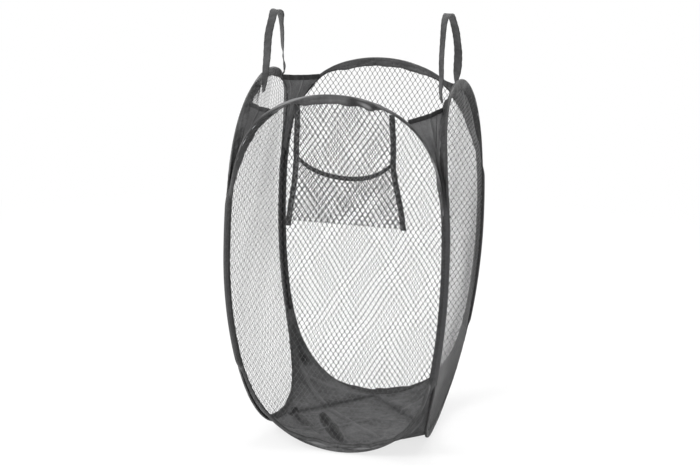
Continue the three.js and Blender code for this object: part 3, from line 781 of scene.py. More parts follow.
MAKERS = {
    "sleeve": sleeve_finish,
    "gusset": lambda: thin_cloth_finish("gusset_cloth", settings("colours").gusset, 0.45, 1.6, 0.0007, 0.0022),
    "bottom": lambda: thin_cloth_finish("bottom_fabric", settings("colours").bottom, 0.36, 2.6, 0.0009, 0.0030),
    "tape": tape_finish,
    "strap": strap_finish,
    "net": net_finish,
    "thread": thread_finish,
    "steel": steel_finish,
    "floor": floor_finish,
}


@cache
def finish_of(name):
    return MAKERS[name]()


# ---------------------------------------------------------------- geometry nodes


class Tree:
    """A geometry node tree with named inputs, which is given their kinds."""

    def __init__(self, name, inputs):
        self.group = bpy.data.node_groups.new(name, "GeometryNodeTree")
        for label, kind in {"Geometry": "Geometry", **inputs, "Material": "Material"}.items():
            self.group.interface.new_socket(label, in_out="INPUT", socket_type="NodeSocket" + kind)
        self.group.interface.new_socket("Geometry", in_out="OUTPUT", socket_type="NodeSocketGeometry")
        self.start, self.end = self.add("NodeGroupInput"), self.add("NodeGroupOutput")

    def add(self, kind, options=None, sockets=None):
        return add_node(self.group, kind, options, sockets)

    def input(self, label):
        return self.start.outputs[label]

    def half(self, label):
        """Half of an input."""
        return self.add("ShaderNodeMath", {"operation": "MULTIPLY"}, {0: self.input(label), 1: 0.5})

    def finish(self, geometry):
        real = self.add("GeometryNodeRealizeInstances", None, {0: geometry})
        painted = self.add("GeometryNodeSetMaterial", None, {"Geometry": real, "Material": self.input("Material")})
        plug(self.group, self.end.inputs[0], painted)
        return self

    def run(self, made, values):
        """Puts the tree on an object with its inputs set, and keeps the result as a plain mesh."""
        modifier = made.modifiers.new("build", "NODES")
        modifier.node_group = self.group
        for item in self.group.interface.items_tree:
            if item.item_type == "SOCKET" and item.in_out == "INPUT" and item.name in values:
                modifier[item.identifier] = values[item.name]
        settle(made, modifier)


@cache
def net_tree():
    """Thickens a flat web of edges into round strands, with fatter knots."""
    tree = Tree("Knotted netting", {"Strand Width": "Float", "Knot Width": "Float", "Sides": "Int"})
    knots = tree.add("GeometryNodeInputNamedAttribute", {"data_type": "BOOLEAN"}, {"Name": "knot"})
    parts = tree.add(
        "GeometryNodeSeparateGeometry",
        {"domain": "EDGE"},
        {"Geometry": tree.input("Geometry"), "Selection": knots.outputs["Attribute"]},
    )
    join = tree.add("GeometryNodeJoinGeometry")
    for source, width in enumerate(("Knot Width", "Strand Width")):
        circle = tree.add(
            "GeometryNodeCurvePrimitiveCircle",
            None,
            {"Resolution": tree.input("Sides"), "Radius": tree.half(width)},
        )
        line = tree.add("GeometryNodeMeshToCurve", None, {"Mesh": parts.outputs[source]})
        tube = tree.add(
            "GeometryNodeCurveToMesh", None, {"Curve": line, "Profile Curve": circle, "Fill Caps": True}
        )
        plug(tree.group, join.inputs[0], tube)
    return tree.finish(join)


@cache
def stitch_tree():
    """Sets a stitch on each point of a row, along the row's direction."""
    tree = Tree("Row of stitches", {"Stitch Length": "Float", "Stitch Width": "Float"})
    along = tree.add("GeometryNodeInputNamedAttribute", {"data_type": "FLOAT_VECTOR"}, {"Name": "along"})
    facing = tree.add("FunctionNodeAlignEulerToVector", {"axis": "X"}, {"Vector": along})
    half = tree.half("Stitch Width")
    size = tree.add("ShaderNodeCombineXYZ", None, {"X": tree.input("Stitch Length"), "Y": half, "Z": half})
    ball = tree.add("GeometryNodeMeshUVSphere", None, {"Segments": 8, "Rings": 4, "Radius": 1.0})
    turned = tree.add("GeometryNodeTransform", None, {"Geometry": ball, "Rotation": (0, math.pi / 2, 0)})
    halved = tree.add("ShaderNodeVectorMath", {"operation": "MULTIPLY"}, {0: size, 1: (0.5, 1.0, 1.0)})
    copies = tree.add(
        "GeometryNodeInstanceOnPoints",
        None,
        {"Points": tree.input("Geometry"), "Instance": turned, "Rotation": facing, "Scale": halved},
    )
    return tree.finish(copies)


# How far to each side of a stitch its row's direction is read
ASIDE = 0.0005


def stitches(name, rows, body):
    """Stitches along rows, each a list of points along a seam."""
    sleeve = settings("sleeve")
    places, ways = [], []
    for row in rows:
        row = np.asarray(row, float)
        run = run_along(row)
        wanted = max(int(run[-1] / sleeve.stitch_pitch), 1)
        at = (np.arange(wanted) + 0.5) * run[-1] / wanted
        places.append(follow(row, run, at))
        ways.append(unit(follow(row, run, at + ASIDE) - follow(row, run, at - ASIDE)))
    made = mesh_object(name, np.concatenate(places), [])
    set_value(made, "along", np.concatenate(ways), "FLOAT_VECTOR")
    sizes = {"Stitch Length": sleeve.stitch_length, "Stitch Width": sleeve.stitch_width}
    stitch_tree().run(made, {**sizes, "Material": finish_of("thread")})
    smooth_faces(made)
    fit(made, body=body)


# ---------------------------------------------------------------- sleeves


# Where a sleeve is drawn narrow: share of the loop, spread, share of its width that is lost
SLEEVE_PINCHES = {
    "front": ((0.441, 0.011, 0.45), (0.556, 0.012, 0.20), (0.963, 0.006, 0.12), (0.035, 0.006, 0.14)),
    "right": ((0.57, 0.02, 0.15),),
    "back": ((0.43, 0.02, 0.35), (0.565, 0.02, 0.30), (0.06, 0.05, 0.5), (0.355, 0.035, 0.35)),
    "left": ((0.44, 0.02, 0.20), (0.93, 0.05, 0.5), (0.635, 0.035, 0.3)),
}


def uprightness(side):
    """How far a sleeve is in the narrow part along an upright corner, by how far round the side it is."""
    return smooth(0.30, 0.86, side)


def sleeve_width(rim):
    """Width of the sleeve round the loop: full at crown, foot and gussets, drawn narrow along the sides."""
    sleeve, corner = settings("sleeve"), settings("corner")
    gusseted = smooth(corner.seam_crown - 0.05, corner.seam_crown + 0.03, rim.z)
    narrow = uprightness(rim.side) * (1 - gusseted)
    pinch = humps(rim.share, SLEEVE_PINCHES[rim.panel.name])
    return (sleeve.width + (sleeve.side_width - sleeve.width) * narrow) * (1 - pinch)


def half_at(side):
    """Half thickness of a sleeve over its wire, by how far round the side it is."""
    sleeve = settings("sleeve")
    return sleeve.half + (sleeve.side_half - sleeve.half) * uprightness(side)


def mouth_line(rim, lap):
    """The line at a lap from the sleeve's open edge, all round: distance in from the fold, and lift."""
    sleeve = settings("sleeve")
    middle = sleeve.over_wire / 2
    turned = sleeve_turn(rim)
    reach = sleeve_width(rim) - lap - middle
    return middle + reach * np.cos(turned), -reach * np.sin(turned), turned


# The sleeve's outer face from its open edge on: share of the width, thickness against the leaf's, looseness
LEAF_SECTION = (
    (1.0, 1.0, 0.8), (0.92, 1.05, 0.5), (0.78, 1.15, 0.9), (0.66, 1.25, 1.1), (0.55, 1.35, 1.1), (0.45, 1.6, 0.9),
)

# On over the wire: share of its chamber, thickness against the chamber's, looseness, nearness to the fold
WIRE_SECTION = (
    (1.0, 0.86, 0.5, 0.1), (0.62, 1.0, 0.3, 0.2), (0.26, 0.93, 0.25, 0.6), (0.06, 0.58, 0.1, 1.0),
    (0.0, 0.0, 0.0, 1.0),
)


def sleeve_rings(panel, rim):
    """Rings of the sleeve's section: over the outer face, round the fold, back over the inner face to the mouth."""
    sleeve, seed, half = settings("sleeve"), panel.seed, half_at(rim.side)
    width = sleeve_width(rim) + sleeve.waver * ripple(
        rim.share, [(23, seed, 0.6), (41, seed * 2.1, 0.5), (67, seed * 3.7, 0.35)]
    )
    outer = [(wide, None, sleeve.leaf * thick, loose, 0.0) for wide, thick, loose in LEAF_SECTION]
    outer += [(None, sleeve.over_wire * near, half * thick, loose, fold) for near, thick, loose, fold in WIRE_SECTION]
    gate = 0.5 + 0.5 * smooth(-0.5, 0.6, ripple(rim.share, [(7, seed, 0.6), (13, seed * 3, 0.4)]))
    columns, folds = [], []
    for side, order in ((1, outer), (-1, outer[-2::-1])):
        for wide, near, lift, loose, fold in order:
            inset = np.maximum(width * wide, sleeve.over_wire * 1.04 + 0.0012 * wide) if wide else near + 0 * width
            slide = 6 * (wide or 0)
            tone = [(161, seed + slide, 0.45), (97, seed * 1.7 - slide, 0.5), (59, seed * 2.9 + side + slide, 0.45)]
            tone += [(19, seed * 1.3 + 1.6 * slide, 0.5)]
            rise = loose * sleeve.pucker * gate * ripple(rim.share, tone)
            columns.append((inset, side * (lift + np.maximum(rise, -lift * 0.35))))
            folds.append(fold)
    for lift in (-sleeve.mouth, 0.0, sleeve.mouth):
        depth = 0.0 if lift else sleeve.lip
        columns.append((np.maximum(width - depth, sleeve.over_wire * 1.02), lift + 0 * width))
        folds.append(0.0)
    # the whole section turns about the wire
    cos, sin = np.cos(sleeve_turn(rim)), np.sin(sleeve_turn(rim))
    middle = sleeve.over_wire / 2
    points = []
    for inset, lift in columns:
        reach = inset - middle
        points.append(panel.point(*rim.inset(middle + reach * cos + lift * sin), lift * cos - reach * sin))
    return np.stack(points, 1), np.array(folds)


# How far each sleeve's cloth is painted lit rather than shaded, from 0 to 1, and where it is painted lighter or
# darker: share of the loop, spread, change
SLEEVE_LIGHT_AND_SHADE = {
    "front": (
        0.42,
        (
            (0.52, 0.030, 0.45), (0.0, 0.06, 0.6), (1.0, 0.06, 0.6), (0.42, 0.015, -0.4), (0.30, 0.08, 0.2),
            (0.468, 0.006, 0.3), (0.448, 0.004, 0.3), (0.458, 0.0035, -1.0), (0.481, 0.004, -0.8),
            (0.437, 0.006, -0.9), (0.580, 0.035, -0.5),
        ),
    ),
    "right": (0.04, ((0.605, 0.03, 0.75), (0.566, 0.009, -0.7), (0.66, 0.04, 0.3), (0.47, 0.03, 0.15))),
    "back": (
        0.50,
        ((0.27, 0.14, -0.5), (0.400, 0.035, -0.5), (0.435, 0.02, -0.35), (0.75, 0.14, -0.5), (0.575, 0.02, -0.35)),
    ),
    "left": (0.12, ((0.395, 0.022, 0.45), (0.50, 0.03, 0.12), (0.30, 0.06, 0.1))),
}

# How far light catches each sleeve's folded edge
SLEEVE_SHINE = {"front": 1.0, "right": 0.15, "back": 0.6, "left": 0.8}


# Painted highlights on small pressed folds of a sleeve's outer face, with painted shade round them: share of the
# loop, half length, place across, half width, lean
SLEEVE_FOLD_HIGHLIGHTS = {
    "front": (
        (0.4680, 0.0085, 0.58, 0.24, -0.20),
        (0.4480, 0.0062, 0.62, 0.28, -0.25),
        (0.9760, 0.0150, 0.50, 0.11, 0.10),
        (0.0300, 0.0170, 0.45, 0.11, -0.10),
        (0.5600, 0.0100, 0.55, 0.22, 0.20),
    ),
    "left": ((0.390, 0.012, 0.55, 0.28, 0.2), (0.360, 0.010, 0.45, 0.22, -0.2)),
    "back": ((0.430, 0.010, 0.50, 0.25, 0.2), (0.560, 0.010, 0.50, 0.25, -0.2)),
}


def fold_highlights_and_shade(panel, rim, columns):
    """How much painted highlight each place of a sleeve has on its small pressed folds, and how much painted shade
    round them.
    """
    across = np.full(columns, 9.0)  # out of reach on the inner face
    across[:11] = (*(wide for wide, _, _ in LEAF_SECTION), 0.28, 0.17, 0.07, 0.02, 0.0)
    light, dark = np.zeros((2, len(rim.share), columns))
    for at, half, middle, wide, lean in SLEEVE_FOLD_HIGHLIGHTS.get(panel.name, ()):
        along = (rim.share[:, None] - at) / half
        off = np.hypot(along, (across[None] - middle - lean * along) / wide)
        light += np.clip(1.25 - off, 0, 1)
        dark += bell(off, 1.5, 0.42)
    return light.ravel(), dark.ravel()


def build_sleeve(panel):
    sleeve, name = settings("sleeve"), panel.name
    rim = Rim(panel, sleeve.stations)
    rings, folds = sleeve_rings(panel, rim)
    stations, columns = rings.shape[:2]
    made = sweep(name + "_sleeve_cloth", rings, "sleeve", closed=True)
    grid_uv(made, rim.run, np.linspace(0, 0.03, columns))
    # painted shade at the open edge and in the mouth between the leaves
    edges = np.zeros(columns)
    edges[[0, -4, -3, -2, -1]] = 1.0
    edges[[1, -5]] = 0.35
    light, dark = fold_highlights_and_shade(panel, rim, columns)
    tone, changes = SLEEVE_LIGHT_AND_SHADE[name]
    # fold, edge, tone and lens paint light and shade on the sleeve, and shine paints a highlight along its fold
    for label, values in (
        ("fold", np.tile(folds, stations)),
        ("edge", np.tile(edges, stations) + 0.9 * dark),
        ("shine", np.tile(folds**2.5 * SLEEVE_SHINE[name], stations)),
        ("lens", light),
        ("tone", np.repeat(tone + humps(rim.share, changes), columns)),
    ):
        set_value(made, label, values)
    fit(made, name + "_sleeve", name)
    flat = (2.0 * float(np.mean(sleeve_width(rim))), float(rim.total))
    name + "_wire"
    rows = []
    inset, lift, turned = mouth_line(rim, sleeve.stitch_inset)
    for side in (1, -1):
        above = side * sleeve.leaf * 1.12
        row = panel.point(*rim.inset(inset + above * np.sin(turned)), lift + above * np.cos(turned))
        rows.append(np.concatenate([row, row[:1]]))
    stitches(name + "_sleeve_stitches", rows, name)


# ---------------------------------------------------------------- nets


def web(inside, low, high, cell_width, cell_height, knot, stray, seed):
    """Knots and strands of a diamond net in a flat region, cut exactly at its edge."""
    columns = np.arange(math.floor(low[0] / cell_width * 2) - 2, math.ceil(high[0] / cell_width * 2) + 3)
    rows = np.arange(math.floor(low[1] / cell_height * 2) - 2, math.ceil(high[1] / cell_height * 2) + 3)
    i, j = np.meshgrid(columns, rows, indexing="ij")
    whole = (i + j) % 2 == 0
    number = -np.ones(i.shape, int)
    number[whole] = np.arange(whole.sum())
    t, z = i[whole] * cell_width / 2, j[whole] * cell_height / 2
    a, b = 2 * math.pi / 0.11, 2 * math.pi / 0.17
    shift_t = stray * (np.sin(z * a + seed) + 0.7 * np.sin(t * b * 1.3 + z * b + 2 * seed))
    shift_z = stray * (np.sin(t * b + 3 * seed) + 0.6 * np.sin(t * a - z * b + seed))
    t, z = t + shift_t, z + shift_z
    points = np.concatenate([np.stack([t, z + end * knot / 2], -1) for end in (-1, 1)])
    total = len(t)
    ends = [np.stack([np.arange(total), np.arange(total) + total], -1)]
    kinds = [np.ones(total, bool)]
    at_i, at_j = np.nonzero(whole)
    for step in (1, -1):
        ok = (at_i + step >= 0) & (at_i + step < i.shape[0]) & (at_j + 1 < i.shape[1])
        there = number[at_i[ok] + step, at_j[ok] + 1]
        ends.append(np.stack([number[whole][ok] + total, there], -1))
        kinds.append(np.zeros(ok.sum(), bool))
    edges, knots = np.concatenate(ends), np.concatenate(kinds)
    within = inside(points[:, 0], points[:, 1])
    keep = within[edges].any(1)
    edges, knots = edges[keep], knots[keep]
    extra = []
    for row, (p, q) in enumerate(edges):
        if within[p] and within[q]:
            continue
        near, far = (points[p], points[q]) if within[p] else (points[q], points[p])
        lo, hi = 0.0, 1.0
        for _ in range(12):
            mid = (lo + hi) / 2
            spot = near + (far - near) * mid
            lo, hi = (mid, hi) if inside(spot[0], spot[1]) else (lo, mid)
        extra.append(near + (far - near) * lo)
        edges[row] = (p if within[p] else q, len(points) + len(extra) - 1)
    if extra:
        points = np.concatenate([points, np.array(extra)])
    used, renamed = np.unique(edges, return_inverse=True)
    return points[used], renamed.reshape(edges.shape), knots


def net_object(name, flat, edges, knots, place, body, replaced, weight=1.0):
    """Strands on a flat web, pressed flat and laid on the panel's surface."""
    net = settings("net")
    made = mesh_object(name, np.column_stack([flat, 0 * flat[:, 0]]), [], edges)
    kind = {tuple(sorted(e)): knot for e, knot in zip(edges.tolist(), knots)}
    set_value(made, "knot", [kind[tuple(sorted(e.vertices))] for e in made.data.edges], "BOOLEAN", "EDGE")
    sizes = {"Strand Width": net.strand * weight, "Knot Width": net.knot_width * weight, "Sides": 4}
    net_tree().run(made, {**sizes, "Material": finish_of("net")})
    points = np.empty(len(made.data.vertices) * 3, np.float32)
    made.data.vertices.foreach_get("co", points)
    points = points.reshape(-1, 3).astype(float)
    laid = place(points[:, 0], points[:, 1], points[:, 2] * net.flatness)
    made.data.vertices.foreach_set("co", laid.astype(np.float32).ravel())
    made.data.update()
    smooth_faces(made)
    return fit(made, replaced, body)


def loop_test(panel, inset):
    """Whether flat points lie inside a panel's loop, set in by a distance."""
    t, z = Rim(panel, ROUGH).inset(inset)
    foot, crown = int(np.argmin(z)), int(np.argmax(z))
    round_to = lambda a, b: np.arange(a, b + 1 if a < b else b + 1 + ROUGH) % ROUGH
    up, down = round_to(foot, crown), round_to(crown, foot)[::-1]

    def inside(at_t, at_z):
        high, low = np.interp(at_z, z[up], t[up]), np.interp(at_z, z[down], t[down])
        return (at_z > z[foot]) & (at_z < z[crown]) & (at_t < high) & (at_t > low)

    return inside


def net_pull(panel, t, z):
    """How far the turned sleeve holds the net inwards at places on it."""
    rim = Rim(panel, ROUGH)
    inset, lift, _ = mouth_line(rim, 0.0)
    middle = settings("sleeve").over_wire / 2
    pull = np.zeros(len(t))
    many = 4000  # places at a time, for the sake of memory
    for start in range(0, len(t), many):
        part = slice(start, start + many)
        gap = np.hypot(t[part, None] - rim.t[None], z[part, None] - rim.z[None])
        near = np.argmin(gap, axis=1)
        off = gap[np.arange(len(near)), near]
        hidden = np.clip((off - middle) / np.maximum(inset[near] - middle, 1e-4), 0, 1)
        pull[part] = lift[near] * np.where(off < inset[near], hidden, np.exp(-(off - inset[near]) / 0.03))
    return pull


# How far a net bellies in and out between its edges
BELLY = 0.0025

# How heavy each panel's strands are, against the width that is set
NET_WEIGHTS = {"front": 0.85, "right": 1.66, "back": 1.6, "left": 2.05}


def build_net(panel, seed):
    net, body, sleeve, name = settings("net"), settings("body"), settings("sleeve"), panel.name
    inside = loop_test(panel, sleeve.over_wire * 0.9)
    low, high = (-body.half - 0.01, 0.0), (body.half + 0.01, body.height)
    flat, edges, knots = web(inside, low, high, net.cell_width, net.cell_height, net.knot, net.stray, seed)

    def place(t, z, lift):
        ends = smooth(0.0, 0.1, z) * smooth(0.61, 0.5, z)
        belly = BELLY * np.sin(t * 17 + seed) * np.sin(z * 13 + 2 * seed) * ends
        edge = smooth(1.0, 0.75, np.abs(t) / body.half)
        return panel.point(t, z, belly * edge + lift + net_pull(panel, t, z))

    made = net_object(name + "_netting", flat, edges, knots, place, name, name + "_net", NET_WEIGHTS[name])
    if name == "right":
        # its foot and its crown hang in the shade
        heights = np.array([v.co.z for v in made.data.vertices])
        set_value(made, "shade", smooth(0.125, 0.075, heights) + 0.6 * smooth(0.50, 0.56, heights))


# ---------------------------------------------------------------- corners


def sewn_line(panel, towards_next, heights):
    """Points where cloth is sewn on a sleeve's inner face, at heights on one side of the loop."""
    at, _ = edge_at(panel, towards_next, heights, settings("corner").lap)
    rim, up = Rim(panel, FINE), slice(FINE // 2 + 1)
    return panel.point(at, heights, -(np.interp(heights, rim.z[up], half_at(rim.side[up])) + CLEARANCE))


# The corner between each panel and the next one
CORNER_NAMES = {"front": "front_right", "right": "back_right", "back": "back_left", "left": "front_left"}


def corner_rides(made, panel, low_point, high_point):
    """The open corner's cloth rides the right panel; the other corners' cloth is baked in place."""
    name = CORNER_NAMES[panel.name]
    if name == "back_right":
        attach(made, "right")
        anchor = panels_now()["right"].point(0.17, 0.3, -0.004)  # in the tape, halfway up
        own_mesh(made)
        return
    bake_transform(made)


def edge_at(panel, towards_next, heights, inset=None):
    """Place along a panel, and lift, of a line in its sleeve at heights on one side: its open edge by default."""
    rim, lift = Rim(panel, FINE), 0.0
    if inset is None:
        inset, lift, _ = mouth_line(rim, settings("corner").seam_lap)
    t, z = rim.inset(inset)
    half = FINE // 2
    pick = np.arange(half + 1) if towards_next else np.r_[0, np.arange(FINE - 1, half - 1, -1)]
    return np.interp(heights, z[pick], t[pick]), np.interp(heights, z[pick], (lift + 0 * t)[pick])


def strip(points, thickness):
    """A closed ring round an open row of flat points: out along one side and back along the other."""
    along = unit(np.gradient(points, axis=0))
    off = np.stack([-along[..., 1], along[..., 0]], -1) * thickness / 2
    return np.concatenate([points + off, (points - off)[::-1]])


# How far a tape's fold stands out from its corner
TAPE_BULGES = {"back_right": 0.0078}

# From the middle to the line on which two sleeves meet
CORNER_AT = 0.172


def build_corner_tape(panel, seed):
    """The tape that joins two sleeves lies on both of them and bridges the corner."""
    corner, sleeve = settings("corner"), settings("sleeve")
    name, other = CORNER_NAMES[panel.name], panel.next
    heights = np.linspace(corner.seam_foot - 0.006, corner.seam_crown - corner.parting, 130)
    own, theirs = edge_at(panel, True, heights, 0.0)[0], -edge_at(other, False, heights, 0.0)[0]
    # full in the middle of the seam, and worked down to nothing at both of its ends
    ends = smooth(heights[0], heights[0] + 0.03, heights) * smooth(heights[-1], heights[-1] - 0.045, heights)
    nears = (sleeve.side_half + CLEARANCE + corner.tape / 2) * (0.05 + 0.95 * ends)
    leg = corner.tape_leg * ends
    leg = leg + 0.0005 * np.sin(heights * 410 + seed) + 0.0004 * np.sin(heights * 930 + 2 * seed)
    rings, gaps = [], []
    for k, z in enumerate(heights):
        p, o, near = float(panel.depth(z)), float(other.depth(z)), nears[k]
        start, finish = np.array([own[k], -p - near]), np.array([o + near, -theirs[k]])
        gaps.append(min(-start.sum(), finish.sum()))
        fold = np.array([o + near, -p - near]) + TAPE_BULGES.get(name, 0.0) * np.array([0.5, -0.9]) * ends[k]
        spread = np.maximum(smooth(0.010, 0.022, np.linalg.norm(finish - start)), 1 - ends[k])
        pull = fold + ((start + finish) / 2 - fold) * (0.35 + 0.65 * spread)
        row = [start - np.array([leg[k] * s, 0]) for s in (1, 0.66, 0.33)]
        row += [start * (1 - s) ** 2 + pull * 2 * s * (1 - s) + finish * s * s for s in np.linspace(0, 1, 9)]
        row += [finish + np.array([0, leg[k] * s]) for s in (0.33, 0.66, 1)]
        sunk = np.array([-1.0, 1.0]) * 0.0025 * (1 - ends[k]) ** 2
        flat = strip(np.array(row) + sunk, corner.tape * (0.4 + 0.6 * ends[k]))
        rings.append(panel.to_body(np.column_stack([flat, np.full(len(flat), z)])))
    rings = np.stack(rings)
    tape = sweep("corner_tape_" + name + "_cloth", rings, "tape")
    grid_uv(tape, heights, np.linspace(0, 0.05, rings.shape[1]))
    across = np.array([0, 0, 0] + [math.sin(math.pi * k / 8) ** 0.6 for k in range(9)] + [0, 0, 0])
    set_value(tape, "light", np.tile(np.concatenate([across, across[::-1]]), len(heights)))
    fit(tape, "corner_tape_" + name)
    # two points to each side of the line on which the two sleeves meet
    reach = max(min(gaps) * 0.45, 0.001)
    low_point, high_point = (panel.spot(CORNER_AT + by, -CORNER_AT + by, 0.3) for by in (-reach, reach))
    corner_rides(tape, panel, low_point, high_point)


# Heights of a gusset's top edge, on its own panel and on the next one
GUSSET_TOPS = {
    "front_right": (0.568, 0.580),
    "back_right": (0.575, 0.575),
    "back_left": (0.568, 0.579),
    "front_left": (0.570, 0.570),
}

# Folds down a gusset: place across it, depth in millimetres, half width across
GUSSET_FOLDS = {
    "front_right": ((0.60, 3.5, 0.03), (0.84, -3.0, 0.04), (0.97, -2.5, 0.05)),
    "back_right": ((0.50, 3.0, 0.05), (0.72, -1.5, 0.04), (0.30, 1.5, 0.04), (0.88, 1.5, 0.03)),
    "back_left": ((0.42, 1.2, 0.05), (0.80, 1.5, 0.05)),
    "front_left": ((0.46, 3.0, 0.06), (0.76, -3.0, 0.06), (0.90, 2.5, 0.04)),
}

# How much painted shade a gusset has against the others, from 0 to 1: its foot, its top
GUSSET_PAINTED_SHADE = {
    "front_right": (0.7, 0.0),
    "back_right": (1.1, 1.1),
    "back_left": (0.5, 0.0),
    "front_left": (1.1, 0.85),
}


def gusset_marks(name, across, rise, seed):
    """The depth of a gusset's folds, and its painted shade and painted highlights, at places on it."""
    foot_shade, top_shade = GUSSET_PAINTED_SHADE[name]
    folded = worn = 0 * across * rise
    # painted shade towards the foot or the top and in each fold, and painted highlights beside the folds
    dark = folded + top_shade + (foot_shade - top_shade) * smooth(0.75, 0.25, rise)
    open_up = smooth(0.0, 0.35, rise)
    for place, depth, half in GUSSET_FOLDS[name]:
        off = (across - place + 0.14 * (1 - rise)) / half
        folded = folded + depth * 0.001 * np.exp(-np.abs(off)) * open_up
        dark = dark + 0.9 * bell(off, 0, 0.35) * open_up
        worn = worn + bell(off, 0.5, 0.5) * open_up * (0.5 + 0.5 * np.sin(rise * 11 + seed))
    return folded, dark, worn


def build_gusset(panel, seed):
    """The gusset hangs between two sleeves, sewn near their open edges, with a hem along its top."""
    corner = settings("corner")
    name, other, columns = CORNER_NAMES[panel.name], panel.next, 110
    foot = corner.seam_crown - corner.parting - 0.020
    heights, their_heights = (np.linspace(foot, top, 64) for top in GUSSET_TOPS[name])
    rise, across = np.linspace(0, 1, len(heights))[:, None], np.linspace(0, 1, columns)[None]
    own_t, own_lift = edge_at(panel, True, heights)
    their_t, their_lift = edge_at(other, False, their_heights)
    near_line = panel.point(own_t, heights, own_lift)
    far_line = other.point(their_t, their_heights, their_lift)
    grid = near_line[:, None] + (far_line - near_line)[:, None] * across[..., None]
    inward = panel.spot(-1.0, 1.0) / math.sqrt(2)
    crease = corner.crease * np.sin(math.pi * rise) ** 0.8 * (1 - np.abs(2 * across - 1)) ** 1.15
    hold = np.sin(math.pi * across) ** 0.7 * rise**0.6
    fall = 0.0005 * np.sin(across * 17 + rise * 9 + seed) + 0.0003 * np.sin(across * 31 - rise * 17 + 2 * seed)
    folded, dark, worn = gusset_marks(name, across, rise, seed)
    grid = grid + inward * (crease + hold * fall - folded * np.sin(math.pi * across) ** 0.4)[..., None]
    grid[..., 2] -= corner.gusset_sag * rise**3 * 4 * across * (1 - across)
    gusset = sheet_object("gusset_" + name + "_cloth", grid, corner.gusset_cloth, "gusset")
    # painted shade and painted highlights of the gusset's cloth
    for label, values in (("crease", dark), ("worn", worn)):
        set_value(gusset, label, np.tile(values.ravel(), 2))
    fit(gusset, "gusset_" + name)
    top = grid[-1]
    out = unit(np.cross(np.array([0, 0, 1.0]), unit(np.gradient(top, axis=0))))
    profile = [(-0.75, -0.25), (0.75, -0.25), (1, 0.0), (0.85, 0.35), (1, 0.7), (0.55, 0.8), (-0.55, 0.8)]
    profile += [(-1, 0.7), (-0.85, 0.35), (-1, 0.0)]
    rings = [top + out * a * corner.hem / 2 + np.array([0, 0, b * corner.hem_height]) for a, b in profile]
    hem = sweep("gusset_hem_" + name + "_cloth", np.stack(rings, 1), "tape")
    wide, tall = float(run_along(top)[-1]), float(heights[-1] - heights[0]) * 1.06
    grid_uv(hem, np.linspace(0, wide, columns), np.linspace(0, 0.016, len(profile)))
    fit(hem, "gusset_hem_" + name)
    # a point on one sleeve's crown and one on the other's
    for piece in (gusset, hem):
        corner_rides(piece, panel, panel.spot(0.099, -0.184, 0.58), panel.spot(0.184, -0.099, 0.58))
    sheet_area([grid], wide, tall)


# The least cloth that a sheet may have, against its flat size
LEAST_CLOTH = 0.31


def sheet_area(grids, wide, tall):
    """The cloth in a sheet's grids, within what its flat size allows."""
    area = 0.0
    for grid in grids:
        across, up = np.diff(grid, axis=0)[:, :-1], np.diff(grid, axis=1)[:-1]
        area += float(np.linalg.norm(np.cross(across, up), axis=-1).sum())
    return min(max(area, LEAST_CLOTH * wide * tall), wide * tall)


# ---------------------------------------------------------------- bottom


# Creases in the bottom: from x, y to x, y on the floor, height as a share of the folds', half width
BOTTOM_CREASES = (
    (0.0, 0.0, -0.150, -0.150, 1.0, 0.007),
    (0.0, 0.0, 0.155, -0.150, 0.9, 0.007),
    (0.0, 0.0, 0.155, 0.160, 1.0, 0.007),
    (0.0, 0.0, -0.150, 0.155, 1.1, 0.006),
    (-0.120, 0.120, 0.010, 0.135, 1.0, 0.005),
    (0.010, 0.135, 0.140, 0.060, 1.0, 0.005),
    (-0.130, 0.040, 0.020, 0.080, 0.7, 0.006),
    (-0.090, -0.130, -0.050, -0.020, 0.8, 0.006),
    (0.030, -0.120, 0.110, -0.010, 0.7, 0.006),
    (-0.030, 0.020, 0.120, 0.045, 0.6, 0.007),
    (-0.100, 0.010, -0.020, -0.110, 0.6, 0.006),
)

# Pleats stitched down in the bottom: from x, y to x, y on the floor, height, half width, all in metres
BOTTOM_PLEATS = (
    (-0.125, 0.038, -0.050, -0.066, 0.0085, 0.012),
    (-0.066, 0.034, 0.004, -0.100, 0.0090, 0.013),
)

# How much painted shade the bottom has in each corner: from what height, by how much
BOTTOM_PAINTED_SHADE = {
    "front_right": (0.020, 0.60),
    "back_right": (0.030, 0.25),
    "back_left": (0.046, 0.85),
    "front_left": (0.030, 0.30),
}


def fold_off(points, start, end):
    """How far along a fold and how far to its left each place lies, and the fold's length."""
    way = np.subtract(end, start)
    long = np.linalg.norm(way)
    way = way / long
    x, y = points[..., 0] - start[0], points[..., 1] - start[1]
    return x * way[0] + y * way[1], y * way[0] - x * way[1], long


